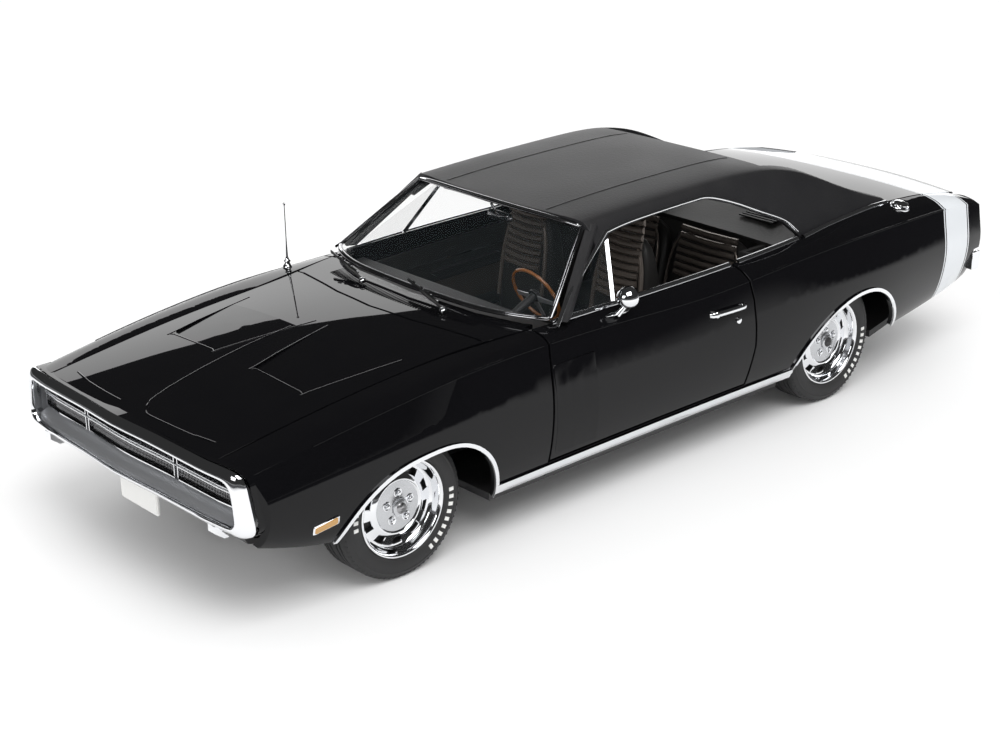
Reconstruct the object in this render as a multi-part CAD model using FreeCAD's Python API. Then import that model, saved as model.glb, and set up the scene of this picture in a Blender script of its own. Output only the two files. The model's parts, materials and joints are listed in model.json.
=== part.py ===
"""Muscle car, a 1:18 metal model with opening doors, hood and trunk lid."""
import FreeCAD
import Part
import math
import os

V = FreeCAD.Vector

# Overall size of the model, and where its axles are
length = 294.2
width = 108.1
height = 74.8
wheelbase_share = 0.5612
front_overhang_share = 0.1754
front_wheel_inset = 12.25
rear_wheel_inset = 12.3

half_length = length / 2
half_width = width / 2
wheelbase = length * wheelbase_share
front_axle_x = half_length - length * front_overhang_share
rear_axle_x = front_axle_x - wheelbase
front_track = width - 2 * front_wheel_inset
rear_track = width - 2 * rear_wheel_inset

# Walls, gaps and fits
body_wall = 1.2
roof_wall = 1.6
glass_wall = 0.8
trim_rise = 0.6
shut_gap = 0.4
seat_gap = 0.1
pin_fit = 0.05
overrun = 200.0

# Wheels
tyre_radius = 18.55
tyre_width = 12.4
tread_width = 9.6
bead_radius = 12.2
rim_lip_radius = 12.9
rim_wall = 1.0
rim_disc_radius = 9.6
rim_disc_depth = 3.0
hub_radius = 3.0
hub_bore = 1.5
slot_count = 10
wheel_flat_count = 40

# Hinges and their reach
goose_neck_wall = 1.2
goose_neck_width = 2.0
hinge_pin_radius = 0.75
hinge_boss_radius = 1.35
hood_hinge_back = 9.4
hood_hinge_drop = 3.6
hood_hinge_span = 24.0
lid_hinge_back = 9.4
lid_hinge_drop = 2.6
lid_gap = 0.55
hood_gap = 0.5
lid_hinge_span = 24.0
door_hinge_ahead = 9.0
door_hinge_inset = 5.75
door_hinge_y = half_width - door_hinge_inset
door_hinge_low_z = 24.0
door_hinge_high_z = 33.0
door_inner_inset = 9.65
door_inner_y = half_width - door_inner_inset
door_inner_lean = 4.0
door_gap = 0.55
door_core_back = 1.2
hook_clearance = 0.4
kingpin_inset = 16.05
kingpin_y = half_width - kingpin_inset
kingpin_radius = 1.0

# Floors and heights above the ground
base_bottom_z = 11.0
base_wall = 2.0
tub_wall = 1.5
door_bottom_z = 18.0
rocker_trim_bottom_z = 14.2
rocker_trim_height = 2.6


def at(x_share, y_share, z_share):
    """Return a point given as shares of length, half width and height."""
    return V(x_share * length, y_share * half_width, z_share * height)


def blend(a, b, share):
    """Return the point or value that lies a share of the way from a to b."""
    return a + (b - a) * share


# The lower body's left side, from nose to tail: x, then (y, z) of the bottom edge,
# lower flank, widest line, crease, shoulder and inner edge
side_shares = [
    (0.496, (0.881, 0.345), (0.910, 0.369), (0.925, 0.441), (0.868, 0.533), (0.799, 0.559), (0.696, 0.564)),
    (0.472, (0.884, 0.307), (0.918, 0.342), (0.934, 0.441), (0.875, 0.548), (0.807, 0.572), (0.696, 0.575)),
    (0.425, (0.894, 0.246), (0.932, 0.283), (0.951, 0.448), (0.888, 0.578), (0.818, 0.602), (0.698, 0.603)),
    (0.374, (0.903, 0.225), (0.944, 0.262), (0.966, 0.455), (0.899, 0.608), (0.827, 0.630), (0.701, 0.630)),
    (0.325, (0.907, 0.209), (0.949, 0.249), (0.975, 0.461), (0.908, 0.631), (0.834, 0.652), (0.703, 0.651)),
    (0.255, (0.903, 0.179), (0.945, 0.225), (0.973, 0.448), (0.908, 0.659), (0.833, 0.676), (0.705, 0.672)),
    (0.167, (0.892, 0.168), (0.934, 0.217), (0.962, 0.421), (0.899, 0.663), (0.855, 0.683), (0.781, 0.691)),
    (0.071, (0.888, 0.168), (0.929, 0.217), (0.957, 0.408), (0.895, 0.651), (0.862, 0.680), (0.814, 0.697)),
    (-0.024, (0.888, 0.171), (0.929, 0.219), (0.962, 0.408), (0.910, 0.634), (0.868, 0.678), (0.818, 0.697)),
    (-0.095, (0.894, 0.174), (0.934, 0.223), (0.977, 0.428), (0.934, 0.651), (0.877, 0.684), (0.814, 0.698)),
    (-0.163, (0.905, 0.179), (0.947, 0.230), (0.998, 0.455), (0.955, 0.675), (0.884, 0.697), (0.801, 0.702)),
    (-0.236, (0.918, 0.198), (0.960, 0.246), (1.012, 0.475), (0.957, 0.683), (0.881, 0.709), (0.784, 0.713)),
    (-0.313, (0.903, 0.227), (0.944, 0.270), (0.995, 0.475), (0.936, 0.676), (0.851, 0.711), (0.759, 0.726)),
    (-0.381, (0.870, 0.246), (0.910, 0.289), (0.955, 0.468), (0.908, 0.666), (0.836, 0.701), (0.740, 0.717)),
    (-0.432, (0.844, 0.265), (0.884, 0.307), (0.925, 0.468), (0.886, 0.654), (0.825, 0.680), (0.740, 0.694)),
    (-0.472, (0.821, 0.286), (0.862, 0.329), (0.903, 0.461), (0.868, 0.636), (0.810, 0.655), (0.740, 0.663)),
    (-0.496, (0.807, 0.316), (0.844, 0.356), (0.881, 0.455), (0.847, 0.607), (0.792, 0.623), (0.740, 0.628)),
]
crease_flank_share = 0.30
crease_top_share = 0.40

# The hood and cowl, and the deck: x, then (y, z) of the edge, the mid line and the centre line
hood_shares = [
    (0.495, (0.696, 0.562), (0.444, 0.574), (0.000, 0.580)),
    (0.425, (0.698, 0.603), (0.444, 0.620), (0.000, 0.627)),
    (0.374, (0.701, 0.630), (0.444, 0.648), (0.000, 0.655)),
    (0.325, (0.703, 0.651), (0.444, 0.668), (0.000, 0.675)),
    (0.255, (0.705, 0.672), (0.444, 0.686), (0.000, 0.693)),
    (0.205, (0.730, 0.683), (0.444, 0.695), (0.000, 0.701)),
    (0.167, (0.781, 0.691), (0.444, 0.701), (0.000, 0.706)),
    (0.120, (0.800, 0.694), (0.444, 0.706), (0.000, 0.710)),
]
deck_shares = [
    (-0.300, (0.763, 0.724), (0.444, 0.732), (0.000, 0.735)),
    (-0.330, (0.752, 0.724), (0.444, 0.734), (0.000, 0.737)),
    (-0.381, (0.740, 0.717), (0.444, 0.727), (0.000, 0.730)),
    (-0.432, (0.740, 0.694), (0.444, 0.709), (0.000, 0.713)),
    (-0.472, (0.740, 0.663), (0.444, 0.684), (0.000, 0.689)),
    (-0.487, (0.740, 0.655), (0.444, 0.680), (0.000, 0.686)),
]

# The roof and its long sails: x, then (y, z) of the base, mid side, roof edge, its rounding,
# the roof's quarter line and the centre line
roof_shares = [
    (0.122, (0.836, 0.690), (0.751, 0.829), (0.651, 0.945), (0.611, 0.966), (0.333, 0.972), (0.000, 0.973)),
    (0.034, (0.816, 0.688), (0.747, 0.829), (0.659, 0.961), (0.611, 0.987), (0.333, 0.993), (0.000, 0.995)),
    (-0.041, (0.814, 0.688), (0.747, 0.829), (0.664, 0.966), (0.611, 0.993), (0.333, 1.000), (0.000, 1.000)),
    (-0.109, (0.806, 0.688), (0.751, 0.829), (0.668, 0.969), (0.614, 0.996), (0.333, 1.001), (0.000, 1.001)),
    (-0.170, (0.795, 0.690), (0.751, 0.824), (0.672, 0.969), (0.625, 0.993), (0.333, 0.997), (0.000, 0.997)),
    (-0.224, (0.782, 0.700), (0.744, 0.802), (0.683, 0.928), (0.640, 0.949), (0.333, 0.955), (0.000, 0.955)),
    (-0.280, (0.768, 0.710), (0.743, 0.767), (0.710, 0.826), (0.673, 0.840), (0.333, 0.848), (0.000, 0.848)),
    (-0.323, (0.751, 0.714), (0.740, 0.737), (0.722, 0.762), (0.692, 0.770), (0.333, 0.775), (0.000, 0.775)),
    (-0.358, (0.740, 0.712), (0.736, 0.716), (0.722, 0.721), (0.699, 0.725), (0.333, 0.727), (0.000, 0.727)),
]

# The side window, hood, cowl, deck lid and glass outlines, in shares of length, half width and height
window_shares = [
    (0.160, 0.660), (0.0495, 0.917), (0.034, 0.925), (0.002, 0.933), (-0.061, 0.941),
    (-0.082, 0.939), (-0.114, 0.897), (-0.179, 0.781), (-0.200, 0.712), (-0.200, 0.660),
]
cowl_line_shares = [(0.208, 1.0), (0.208, 0.68), (0.216, 0.45), (0.222, 0.29), (0.2265, 0.0)]
recess_depth = 0.7
recess_depth_shares = [1.0, 1.0, 1.0, 0.35, -0.6, -0.6, -0.6, -0.6]
recess_shares = [(0.375, 0.150), (0.371, 0.545), (0.280, 0.610), (0.280, 0.045)]
loop_plan_shares = [(0.473, 0.95), (0.487, 0.86), (0.494, 0.67), (0.498, 0.37), (0.5, 0.0)]
bumper_deep = 3.2
roof_front_shares = [(0.069, 0.68), (0.077, 0.45), (0.081, 0.25), (0.083, 0.0)]
glass_base_shares = [(0.142, 0.842, 0.704), (0.158, 0.70, 0.704), (0.172, 0.45, 0.708), (0.179, 0.0, 0.711)]
glass_top_shares = [(0.069, 0.645, 0.938), (0.0765, 0.52, 0.953), (0.0815, 0.30, 0.959), (0.0835, 0.0, 0.960)]
rear_glass_shares = [(-0.180, 0.58, 0.965), (-0.310, 0.62, 0.745)]
lid_front_share = -0.350
lid_rear_share = -0.472
shelf_front_share = -0.308
door_front_shares = [(0.1605, 0.76), (0.1605, 0.652), (0.1665, 0.243)]
door_rear_shares = [(-0.091, 0.76), (-0.094, 0.647), (-0.098, 0.575), (-0.099, 0.393), (-0.092, 0.243)]

# Wheel arches: how far from the axle, as a share of the tyre's radius, and how high
front_arch_shares = [
    (1.23, 0.10), (1.14, 0.246), (0.80, 0.345), (0.31, 0.412), (-0.24, 0.436),
    (-0.89, 0.423), (-1.31, 0.341), (-1.48, 0.214), (-1.52, 0.10),
]
rear_arch_shares = [
    (1.23, 0.10), (1.16, 0.200), (0.77, 0.335), (0.18, 0.428), (-0.33, 0.455),
    (-0.75, 0.441), (-1.18, 0.370), (-1.42, 0.286), (-1.54, 0.10),
]


def surface(net, degree_along, degree_across):
    """Return the smooth surface whose control points are the rows of net."""
    def clamped(count, degree):
        spans = count - degree
        return list(range(spans + 1)), [degree + 1] + [1] * (spans - 1) + [degree + 1]
    knots_along, mults_along = clamped(len(net), degree_along)
    knots_across, mults_across = clamped(len(net[0]), degree_across)
    result = Part.BSplineSurface()
    result.buildFromPolesMultsKnots(net, mults_along, mults_across, knots_along, knots_across,
                                    False, False, degree_along, degree_across)
    return result


def curve(points, degree):
    """Return the smooth curve whose control points are given."""
    spans = len(points) - degree
    result = Part.BSplineCurve()
    mults = [degree + 1] + [1] * (spans - 1) + [degree + 1]
    result.buildFromPolesMultsKnots(points, mults, list(range(spans + 1)), False, degree)
    return result


def offset_net(net, rise, flat_rows=True):
    """Return the net moved outwards by rise along its normals, if asked with each row kept in its plane."""
    rows, columns = len(net), len(net[0])
    result = []
    for i in range(rows):
        row = []
        for j in range(columns):
            along = net[min(i + 1, rows - 1)][j] - net[max(i - 1, 0)][j]
            across = net[i][min(j + 1, columns - 1)] - net[i][max(j - 1, 0)]
            normal = along.cross(across)
            if flat_rows:
                normal.x = 0
            normal.normalize()
            row.append(net[i][j] + normal * rise)
        result.append(row)
    return result


def face_strips(net, creases, degree_along, degree_across):
    """Return the net's smooth faces, one from each crease to the next."""
    cuts = [0] + list(creases) + [len(net[0]) - 1]
    return [surface([row[start:end + 1] for row in net], degree_along, degree_across).toShape()
            for start, end in zip(cuts, cuts[1:])]


def row_edges(row, creases, degree_across):
    """Return the curves across one row, one from each crease to the next."""
    cuts = [0] + list(creases) + [len(row) - 1]
    return [curve(row[start:end + 1], degree_across).toShape() for start, end in zip(cuts, cuts[1:])]


def pane(net, wall):
    """Return the solid sheet that stands on a net of smooth rows."""
    outer, inner = offset_net(net, 0), offset_net(net, -wall, False)
    faces = [surface(each, 2, 2).toShape() for each in (outer, inner)]
    for index in (0, -1):
        edges = [curve(each[index], 2).toShape() for each in (outer, inner)]
        faces.append(Part.makeRuledSurface(edges[0], edges[1]))
        edges = [curve([row[index] for row in each], 2).toShape() for each in (outer, inner)]
        faces.append(Part.makeRuledSurface(edges[0], edges[1]))
    return sewn(faces)


def slab(net, outside, inside, creases=(), inner_creases=(), inner_columns=None):
    """Return the solid wall between two offsets of one net, creased along the given columns."""
    degree_along, degree_across = 3, 2
    columns = inner_columns or range(len(net[0]))
    outer = offset_net(net, outside)
    inner = offset_net([[row[column] for column in columns] for row in net], -inside)
    faces = face_strips(outer, creases, degree_along, degree_across)
    faces.extend(face_strips(inner, inner_creases, degree_along, degree_across))
    for index in (0, -1):
        outer_side, inner_side = [curve([row[index] for row in each], degree_along).toShape()
                                  for each in (outer, inner)]
        faces.append(Part.makeRuledSurface(outer_side, inner_side))
        ends = row_edges(outer[index], creases, degree_across)
        ends.extend(row_edges(inner[index], inner_creases, degree_across))
        for corner in (0, -1):
            ends.append(Part.makeLine(outer[index][corner], inner[index][corner]))
        faces.append(Part.Face(Part.Wire(Part.sortEdges(ends)[0])))
    return sewn(faces)


def sewn(faces):
    """Return the solid that the faces enclose."""
    shell = Part.makeShell(faces)
    shell.sewShape()
    solid = Part.makeSolid(shell)
    if solid.Volume < 0:
        solid.reverse()
    return solid


def plane_point(plane, a, b, level):
    """Return the point (a, b) of a plane XZ, XY or YZ at the given level."""
    if plane == "XZ":
        return V(a, level, b)
    if plane == "XY":
        return V(a, b, level)
    return V(level, a, b)


def corner_wire(points, radius, plane, level):
    """Return a closed wire through flat points, with its corners rounded."""
    flat = [V(a, b, 0) for a, b in points]
    count = len(flat)
    edges = []
    last = None
    first = None
    for i in range(count):
        corner = flat[i]
        to_last = flat[i - 1] - corner
        to_next = flat[(i + 1) % count] - corner
        turn = to_last.getAngle(to_next)
        room = 0.45 * min(to_last.Length, to_next.Length)
        step = min(radius / math.tan(turn / 2), room) if radius else 0
        to_last.normalize()
        to_next.normalize()
        start = corner + to_last * step
        end = corner + to_next * step
        if last is not None:
            edges.append((last, start))
        else:
            first = start
        if step:
            reach = step * math.tan(turn / 2)
            middle = to_last + to_next
            middle.normalize()
            bulge = corner + middle * (reach / math.sin(turn / 2) - reach)
            edges.append((start, bulge, end))
        last = end
    edges.append((last, first))
    shapes = []
    for each in edges:
        placed = [plane_point(plane, p.x, p.y, level) for p in each]
        if len(placed) == 3:
            shapes.append(Part.Arc(*placed).toShape())
        elif placed[0].distanceToPoint(placed[1]) > 0:
            shapes.append(Part.LineSegment(*placed).toShape())
    return Part.Wire(shapes)


def prism(points, plane, start, end, radius=0):
    """Return a flat outline, drawn out between two levels of its plane's normal."""
    face = Part.Face(corner_wire(points, radius, plane, start))
    return face.extrude(plane_point(plane, 0, 0, end - start))


def smooth_prism(points, plane, start, end):
    """Return a smooth closed outline, open along its last side, drawn out between two levels."""
    placed = [plane_point(plane, a, b, start) for a, b in points]
    line = Part.BSplineCurve()
    line.interpolate(placed)
    wire = Part.Wire([line.toShape(), Part.LineSegment(placed[-1], placed[0]).toShape()])
    return Part.Face(wire).extrude(plane_point(plane, 0, 0, end - start))


def box(x0, x1, y0, y1, z0, z1):
    """Return a box between two opposite corners."""
    return Part.makeBox(abs(x1 - x0), abs(y1 - y0), abs(z1 - z0), V(min(x0, x1), min(y0, y1), min(z0, z1)))


def rod(start, end, radius):
    """Return a round bar between two points."""
    return Part.makeCylinder(radius, (end - start).Length, start, end - start)


def turned_y(profile, x, y, z, flats):
    """Return a profile of (radius, reach along the axle) turned about an axle along Y in narrow flats."""
    rows = []
    for index in range(flats):
        angle = 2 * math.pi * index / flats
        rows.append([V(x + r * math.cos(angle), y + reach, z + r * math.sin(angle)) for r, reach in profile])
    faces = []
    for row, next_row in zip(rows, rows[1:] + rows[:1]):
        for i in range(len(profile)):
            corners = [row[i - 1], row[i], next_row[i], next_row[i - 1]]
            faces.append(Part.Face(Part.makePolygon(corners + corners[:1])))
    return sewn(faces)


def mirrored(shape):
    """Return the shape's twin on the car's right side."""
    return shape.mirror(V(0, 0, 0), V(0, 1, 0))


def joined(shapes):
    """Return the shapes fused to one solid."""
    result = shapes[0].multiFuse(shapes[1:]) if len(shapes) > 1 else shapes[0]
    return result.removeSplitter()


def largest(shape):
    """Return the largest solid of a shape that a cut has split."""
    return max(shape.Solids, key=lambda each: each.Volume)


os.makedirs("parts", exist_ok=True)


def save(name, shape):
    """Write one piece and report its solids, faces and volume."""
    solids = shape.Solids
    shape = solids[0] if len(solids) == 1 else Part.makeCompound(solids)
    shape.exportStep("parts/" + name + ".step")
    state = "ok" if shape.isValid() else "INVALID"
    print("%-22s solids %d faces %3d volume %9.1f %s"
          % (name, len(solids), len(shape.Faces), shape.Volume, state))


def save_pair(name, shape):
    """Write a left piece and its twin on the right."""
    save(name + "_left", shape)
    save(name + "_right", mirrored(shape))


def save_both(name, shape):
    """Write a left piece and its twin on the right as one node."""
    save(name, Part.makeCompound([shape, mirrored(shape)]))


# Control nets of the outer skins
def side_net():
    """Return the left side's net, with two lines close beside the crease."""
    net = []
    for x, *pairs in side_shares:
        bottom, lower, widest, crease, shoulder, inner = [at(x, y, z) for y, z in pairs]
        below = blend(crease, widest, crease_flank_share)
        above = blend(crease, shoulder, crease_top_share)
        net.append([bottom, lower, widest, below, crease, above, shoulder, inner])
    return net


def spread_net(table, edge_gap):
    """Return a net from the left edge over the centre line to the right edge."""
    net = []
    for x, *pairs in table:
        left = [at(x, y, z) for y, z in pairs]
        left[0] = left[0] - V(0, edge_gap, 0)
        right = [V(p.x, -p.y, p.z) for p in reversed(left[:-1])]
        net.append(left + right)
    return net


def arch_points(shares, axle_x, growth):
    """Return a wheel arch's outline in the XZ plane, grown outwards all round."""
    centre_z = tyre_radius * 0.8
    points = []
    for along, up in shares:
        dx = along * tyre_radius
        dz = up * height - centre_z
        reach = math.hypot(dx, dz)
        scale = (reach + growth) / reach
        points.append((axle_x + dx * scale, centre_z + dz * scale))
    return points


def arch_cut(shares, axle_x, growth=0):
    """Return the solid that opens a left wheel arch."""
    return smooth_prism(arch_points(shares, axle_x, growth), "XZ", kingpin_y, kingpin_y + overrun)


def door_outline(grow):
    """Return the door's outline in the XZ plane, grown by a gap."""
    front = [(x * length + grow, z * height) for x, z in door_front_shares]
    rear = [(x * length - grow, z * height) for x, z in reversed(door_rear_shares)]
    front[-1] = (front[-1][0], door_bottom_z - grow)
    rear[0] = (rear[0][0], door_bottom_z - grow)
    return front + rear


side = side_net()
side_lines = ("bottom", "lower", "widest", "below crease", "crease", "above crease", "shoulder", "inner")
crease_column = side_lines.index("crease")
side_inner_columns = [side_lines.index(line) for line in
                      ("bottom", "lower", "widest", "crease", "shoulder", "inner")]


def side_layer(outside, inside):
    """Return a layer on the left side that keeps the crease along its upper line on both faces."""
    return slab(side, outside, inside, (crease_column,), (crease_column,))


side_wall = slab(side, 0, body_wall, (crease_column,), inner_columns=side_inner_columns)
door_cut = prism(door_outline(door_gap), "XZ", 0, overrun)
front_arch = arch_cut(front_arch_shares, front_axle_x)
rear_arch = arch_cut(rear_arch_shares, rear_axle_x)
door_front_x = door_front_shares[0][0] * length + shut_gap
door_rear_x = door_rear_shares[-1][0] * length - shut_gap
sill_top_z = door_bottom_z - shut_gap


def nose_line(setback):
    """Return the front bumper's curved front in plan, set back, from left to right."""
    left = [(x * length - setback, y * half_width) for x, y in loop_plan_shares]
    return left + [(x, -y) for x, y in reversed(left[:-1])]


nose_cut = prism(nose_line(bumper_deep + shut_gap) + [(length, -width), (length, width)], "XY", 0, overrun)

# Fender, sill and quarter panels
tail_x = -half_length * 0.985
bumper_cut_x = -half_length * 0.962
bumper_cut_z = 31.6
panels = side_wall.cut(door_cut).cut(front_arch).cut(rear_arch)
fender = panels.common(prism([
    (door_front_x, overrun), (door_front_x, door_front_shares[1][1] * height),
    (door_front_shares[2][0] * length + shut_gap, sill_top_z),
    (door_front_shares[2][0] * length + shut_gap, 0), (length, 0), (length, overrun)],
    "XZ", 0, overrun)).cut(nose_cut)
save_both("fenders", fender)
sill = panels.common(box(door_front_shares[2][0] * length, door_rear_x, 0, overrun, 0, sill_top_z))
save_both("sills", sill)
quarter = panels.common(prism([
    (door_rear_x, 0), (door_rear_x, sill_top_z)] + [
    (x * length - shut_gap, z * height) for x, z in reversed(door_rear_shares)][1:] + [
    (door_rear_shares[0][0] * length - shut_gap, overrun), (tail_x, overrun),
    (tail_x, bumper_cut_z), (bumper_cut_x, bumper_cut_z), (bumper_cut_x, 0)],
    "XZ", 0, overrun))
save_both("quarters", quarter)

# Hood, cowl, deck lid and the shelf before the lid
top_net = spread_net(hood_shares, shut_gap)
top_wall = slab(top_net, 0, body_wall)


def cowl_outline(shift):
    """Return the hood's rear edge in plan, shifted forwards, from left to right."""
    left = [(x * length + shift, y * half_width) for x, y in cowl_line_shares]
    return left + [(x, -y) for x, y in reversed(left[:-1])]


hood = top_wall.common(prism(cowl_outline(hood_gap) + [
    (length, -half_width), (length, half_width)], "XY", 0, overrun)).cut(nose_cut)

# Two shallow recesses in the hood, deepest along their front edges
recess_net = []
for (x, *pairs), share in zip(hood_shares, recess_depth_shares):
    recess_net.append([at(x, y, z) - V(0, 0, recess_depth * share) for y, z in pairs])
recess_net = [row + [V(p.x, -p.y, p.z) for p in reversed(row[:-1])] for row in recess_net]
recess_room = slab(recess_net, 2 * recess_depth, 0)
recess = prism([(x * length, y * half_width) for x, y in recess_shares], "XY", 0, overrun, 2 * body_wall)
recess = recess_room.common(recess)
hood = hood.cut(recess).cut(mirrored(recess))
save("hood", hood)
glass_base = [(x * length, y * half_width) for x, y, z in glass_base_shares]
glass_line = glass_base + [(x, -y) for x, y in reversed(glass_base[:-1])]
door_top_z = height * 0.697
door_room = prism(door_outline(shut_gap), "XZ", door_inner_y - door_inner_lean - shut_gap, overrun).common(
    box(-half_length, half_length, 0, overrun, 0, door_top_z + shut_gap))
door_room = door_room.fuse(mirrored(door_room))
cowl_room = prism(cowl_outline(0) + list(reversed(glass_line)), "XY", 0, overrun)
cowl = largest(top_wall.common(cowl_room).cut(door_room))
save("cowl_panel", cowl)
deck_net = spread_net(deck_shares, shut_gap)
deck_wall = slab(deck_net, 0, body_wall)
lid_front_x = lid_front_share * length
lid_rear_x = lid_rear_share * length
lid = deck_wall.common(box(lid_rear_x, lid_front_x - lid_gap, -overrun, overrun, 0, overrun))
save("trunk_lid", lid)

# Roof with its pillars and long sails
roof_net = spread_net(roof_shares, 0)
roof_skin = slab(roof_net, 0, roof_wall)
window = prism([(x * length, z * height) for x, z in window_shares], "XZ", -overrun, overrun, body_wall)
roof_front = [(x * length, y * half_width) for x, y in roof_front_shares]
roof_line = roof_front + [(x, -y) for x, y in reversed(roof_front[:-1])]
windshield_cut = prism([(overrun, half_width)] + [(roof_front[0][0], half_width)] + roof_line + [
    (roof_front[0][0], -half_width), (overrun, -half_width)], "XY", 0, overrun)
rear_top_x = rear_glass_shares[0][0] * length
rear_half = rear_glass_shares[0][1] * half_width
rear_cut = prism([
    (rear_top_x, rear_half), (rear_top_x, -rear_half),
    (-half_length, -rear_glass_shares[1][1] * half_width),
    (-half_length, rear_glass_shares[1][1] * half_width)], "XY", 0, overrun)
roof = roof_skin.cut(window).cut(windshield_cut).cut(rear_cut)
roof = roof.common(box(lid_front_x, half_length, -overrun, overrun, 0, overrun))


def bar_between(start, end, wide, deep):
    """Return a straight bar of rectangular section between two points."""
    run = end - start
    side_way = run.cross(V(0, 0, 1))
    side_way.normalize()
    up_way = side_way.cross(run)
    up_way.normalize()
    half_wide = side_way * (wide / 2)
    half_deep = up_way * (deep / 2)
    corners = [start + half_wide + half_deep, start - half_wide + half_deep,
               start - half_wide - half_deep, start + half_wide - half_deep]
    return Part.Face(Part.makePolygon(corners + [corners[0]])).extrude(run)


# Windshield pillars, fused to the roof
pillar_wide = 2.6
pillar_deep = 2.0
pillar_foot = at(0.134, 0.838, 0.690)
pillar_head = at(0.062, 0.640, 0.952)
pillar = bar_between(pillar_foot, pillar_head, pillar_wide, pillar_deep)
roof = joined([roof, pillar, mirrored(pillar)]).cut(door_room)
save("roof", roof)

# Glass: windshield, rear window and the vent windows that swing with the doors


def glass_sheet(low, high, bulge, wall):
    """Return a curved pane between a low and a high line of points from left to the centre."""
    rows = []
    for share in (0, 0.5, 1):
        row = []
        for a, b in zip(low, high):
            point = blend(a, b, share)
            row.append(point + V(bulge * 4 * share * (1 - share), 0, 0))
        rows.append(row + [V(p.x, -p.y, p.z) for p in reversed(row[:-1])])
    rows = [list(row) for row in zip(*rows)]
    return pane(rows, wall)


glass_inset = 2.1
low_line = [at(*p) - V(0, glass_inset if i == 0 else 0, 0) for i, p in enumerate(glass_base_shares)]
high_line = [at(*p) - V(0, glass_inset if i == 0 else 0, 0) for i, p in enumerate(glass_top_shares)]
windshield_bulge = 1.2
pillar_room = bar_between(pillar_foot, pillar_head, pillar_wide + 2 * seat_gap, pillar_deep + 2 * seat_gap)
windshield = glass_sheet(low_line, high_line, windshield_bulge, glass_wall)
windshield = largest(windshield.cut(pillar_room).cut(mirrored(pillar_room)))
save("windshield", windshield)
glass_top = at(*rear_glass_shares[0])
glass_foot = at(*rear_glass_shares[1])
rear_bulge = -1.0
rear_low = [glass_foot, V(glass_foot.x, glass_foot.y / 2, glass_foot.z), V(glass_foot.x, 0, glass_foot.z)]
rear_high = [glass_top - V(seat_gap, seat_gap, roof_wall),
             V(glass_top.x - seat_gap, glass_top.y / 2, glass_top.z - roof_wall),
             V(glass_top.x - seat_gap, 0, glass_top.z - roof_wall)]
rear_window = glass_sheet(rear_high, rear_low, rear_bulge, glass_wall)
save("rear_window", rear_window)
shelf_front_x = shelf_front_share * length
shelf = largest(deck_wall.common(box(lid_front_x, shelf_front_x, -overrun, overrun, 0, overrun)).cut(roof))
save("rear_shelf", shelf)


def inner_block(inset):
    """Return the space inside the left skin, from an inset under it to the centre plane."""
    net = [[row[column] for column in side_inner_columns] for row in side]
    skin = offset_net(net, -inset)
    flat = [[V(p.x, 0, p.z) for p in row] for row in skin]
    faces = [surface(each, 3, 2).toShape() for each in (skin, flat)]
    for index in (0, -1):
        edges = [curve(each[index], 2).toShape() for each in (skin, flat)]
        faces.append(Part.makeRuledSurface(edges[0], edges[1]))
        edges = [curve([row[index] for row in each], 3).toShape() for each in (skin, flat)]
        faces.append(Part.makeRuledSurface(edges[0], edges[1]))
    return sewn(faces)


inside_left = inner_block(body_wall + seat_gap)
inside = inside_left.fuse(mirrored(inside_left))

# Doors, solid from skin to inner trim
door_shape = prism(door_outline(0), "XZ", 0, overrun)
core_cut = prism([(x * length - door_core_back, z * height) for x, z in door_front_shares] + [
    (overrun, 0), (overrun, height)], "XZ", 0, overrun)
door_core = inner_block(body_wall * 0.8).common(door_shape).cut(core_cut).common(prism([
    (door_inner_y, 0), (door_inner_y - door_inner_lean, height), (half_width, height), (half_width, 0)],
    "YZ", -half_length, half_length))
door = joined([side_wall.common(door_shape), door_core])
save_pair("door", door)

# Vent windows and their bars, carried by the doors
vent_foot_front = at(0.121, 0.803, 0.702)
vent_foot_rear = at(0.069, 0.803, 0.702)
vent_head = at(0.047, 0.630, 0.905)
vent_bar = 1.0
vent_face = Part.Face(Part.makePolygon([vent_foot_front, vent_foot_rear, vent_head, vent_foot_front]))
pane_normal = (vent_foot_rear - vent_foot_front).cross(vent_head - vent_foot_front)
pane_normal.normalize()
vent_pane = vent_face.extrude(pane_normal * glass_wall)
save_pair("vent_window", vent_pane)
vent_post = bar_between(vent_foot_rear - V(vent_bar, 0, 0), vent_head - V(vent_bar, 0, 0), vent_bar, vent_bar)

# Tail panel, lamps and rear bumper
tail_panel_wall = 2.2
tail_front_x = lid_rear_x - shut_gap
tail_panel = prism([
    (tail_front_x, height * 0.655), (tail_front_x - tail_panel_wall, height * 0.65),
    (tail_front_x - 2 * tail_panel_wall, bumper_cut_z), (tail_front_x, bumper_cut_z)],
    "XZ", -half_width, half_width).common(inside)
save("tail_panel", tail_panel)
lamp_depth = 1.2
lamp_height = 7.6
lamp_inner_y = 5.0
lamp_outer_y = 39.0
lamp_low_z = 34.2
lamp_face_x = tail_front_x - 2 * tail_panel_wall - lamp_depth
lamp = prism([
    (lamp_inner_y, lamp_low_z), (lamp_outer_y, lamp_low_z),
    (lamp_outer_y, lamp_low_z + lamp_height), (lamp_inner_y, lamp_low_z + lamp_height)],
    "YZ", lamp_face_x, tail_front_x - tail_panel_wall / 2, lamp_height / 4)
lamp = largest(lamp.cut(tail_panel))
save("tail_lamps", Part.makeCompound([lamp, mirrored(lamp)]))
rear_bumper_low_z = 24.4
rear_bumper_deep = 4.0
rear_bumper_plan_shares = [(-0.4835, 0.885), (-0.492, 0.865), (-0.498, 0.70), (-0.5, 0.40)]
rear_plan = [(x * length, y * half_width) for x, y in rear_bumper_plan_shares]
rear_plan = rear_plan + [(x, -y) for x, y in reversed(rear_plan)]
rear_bumper = prism(rear_plan, "XY", rear_bumper_low_z, bumper_cut_z - shut_gap)
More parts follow.
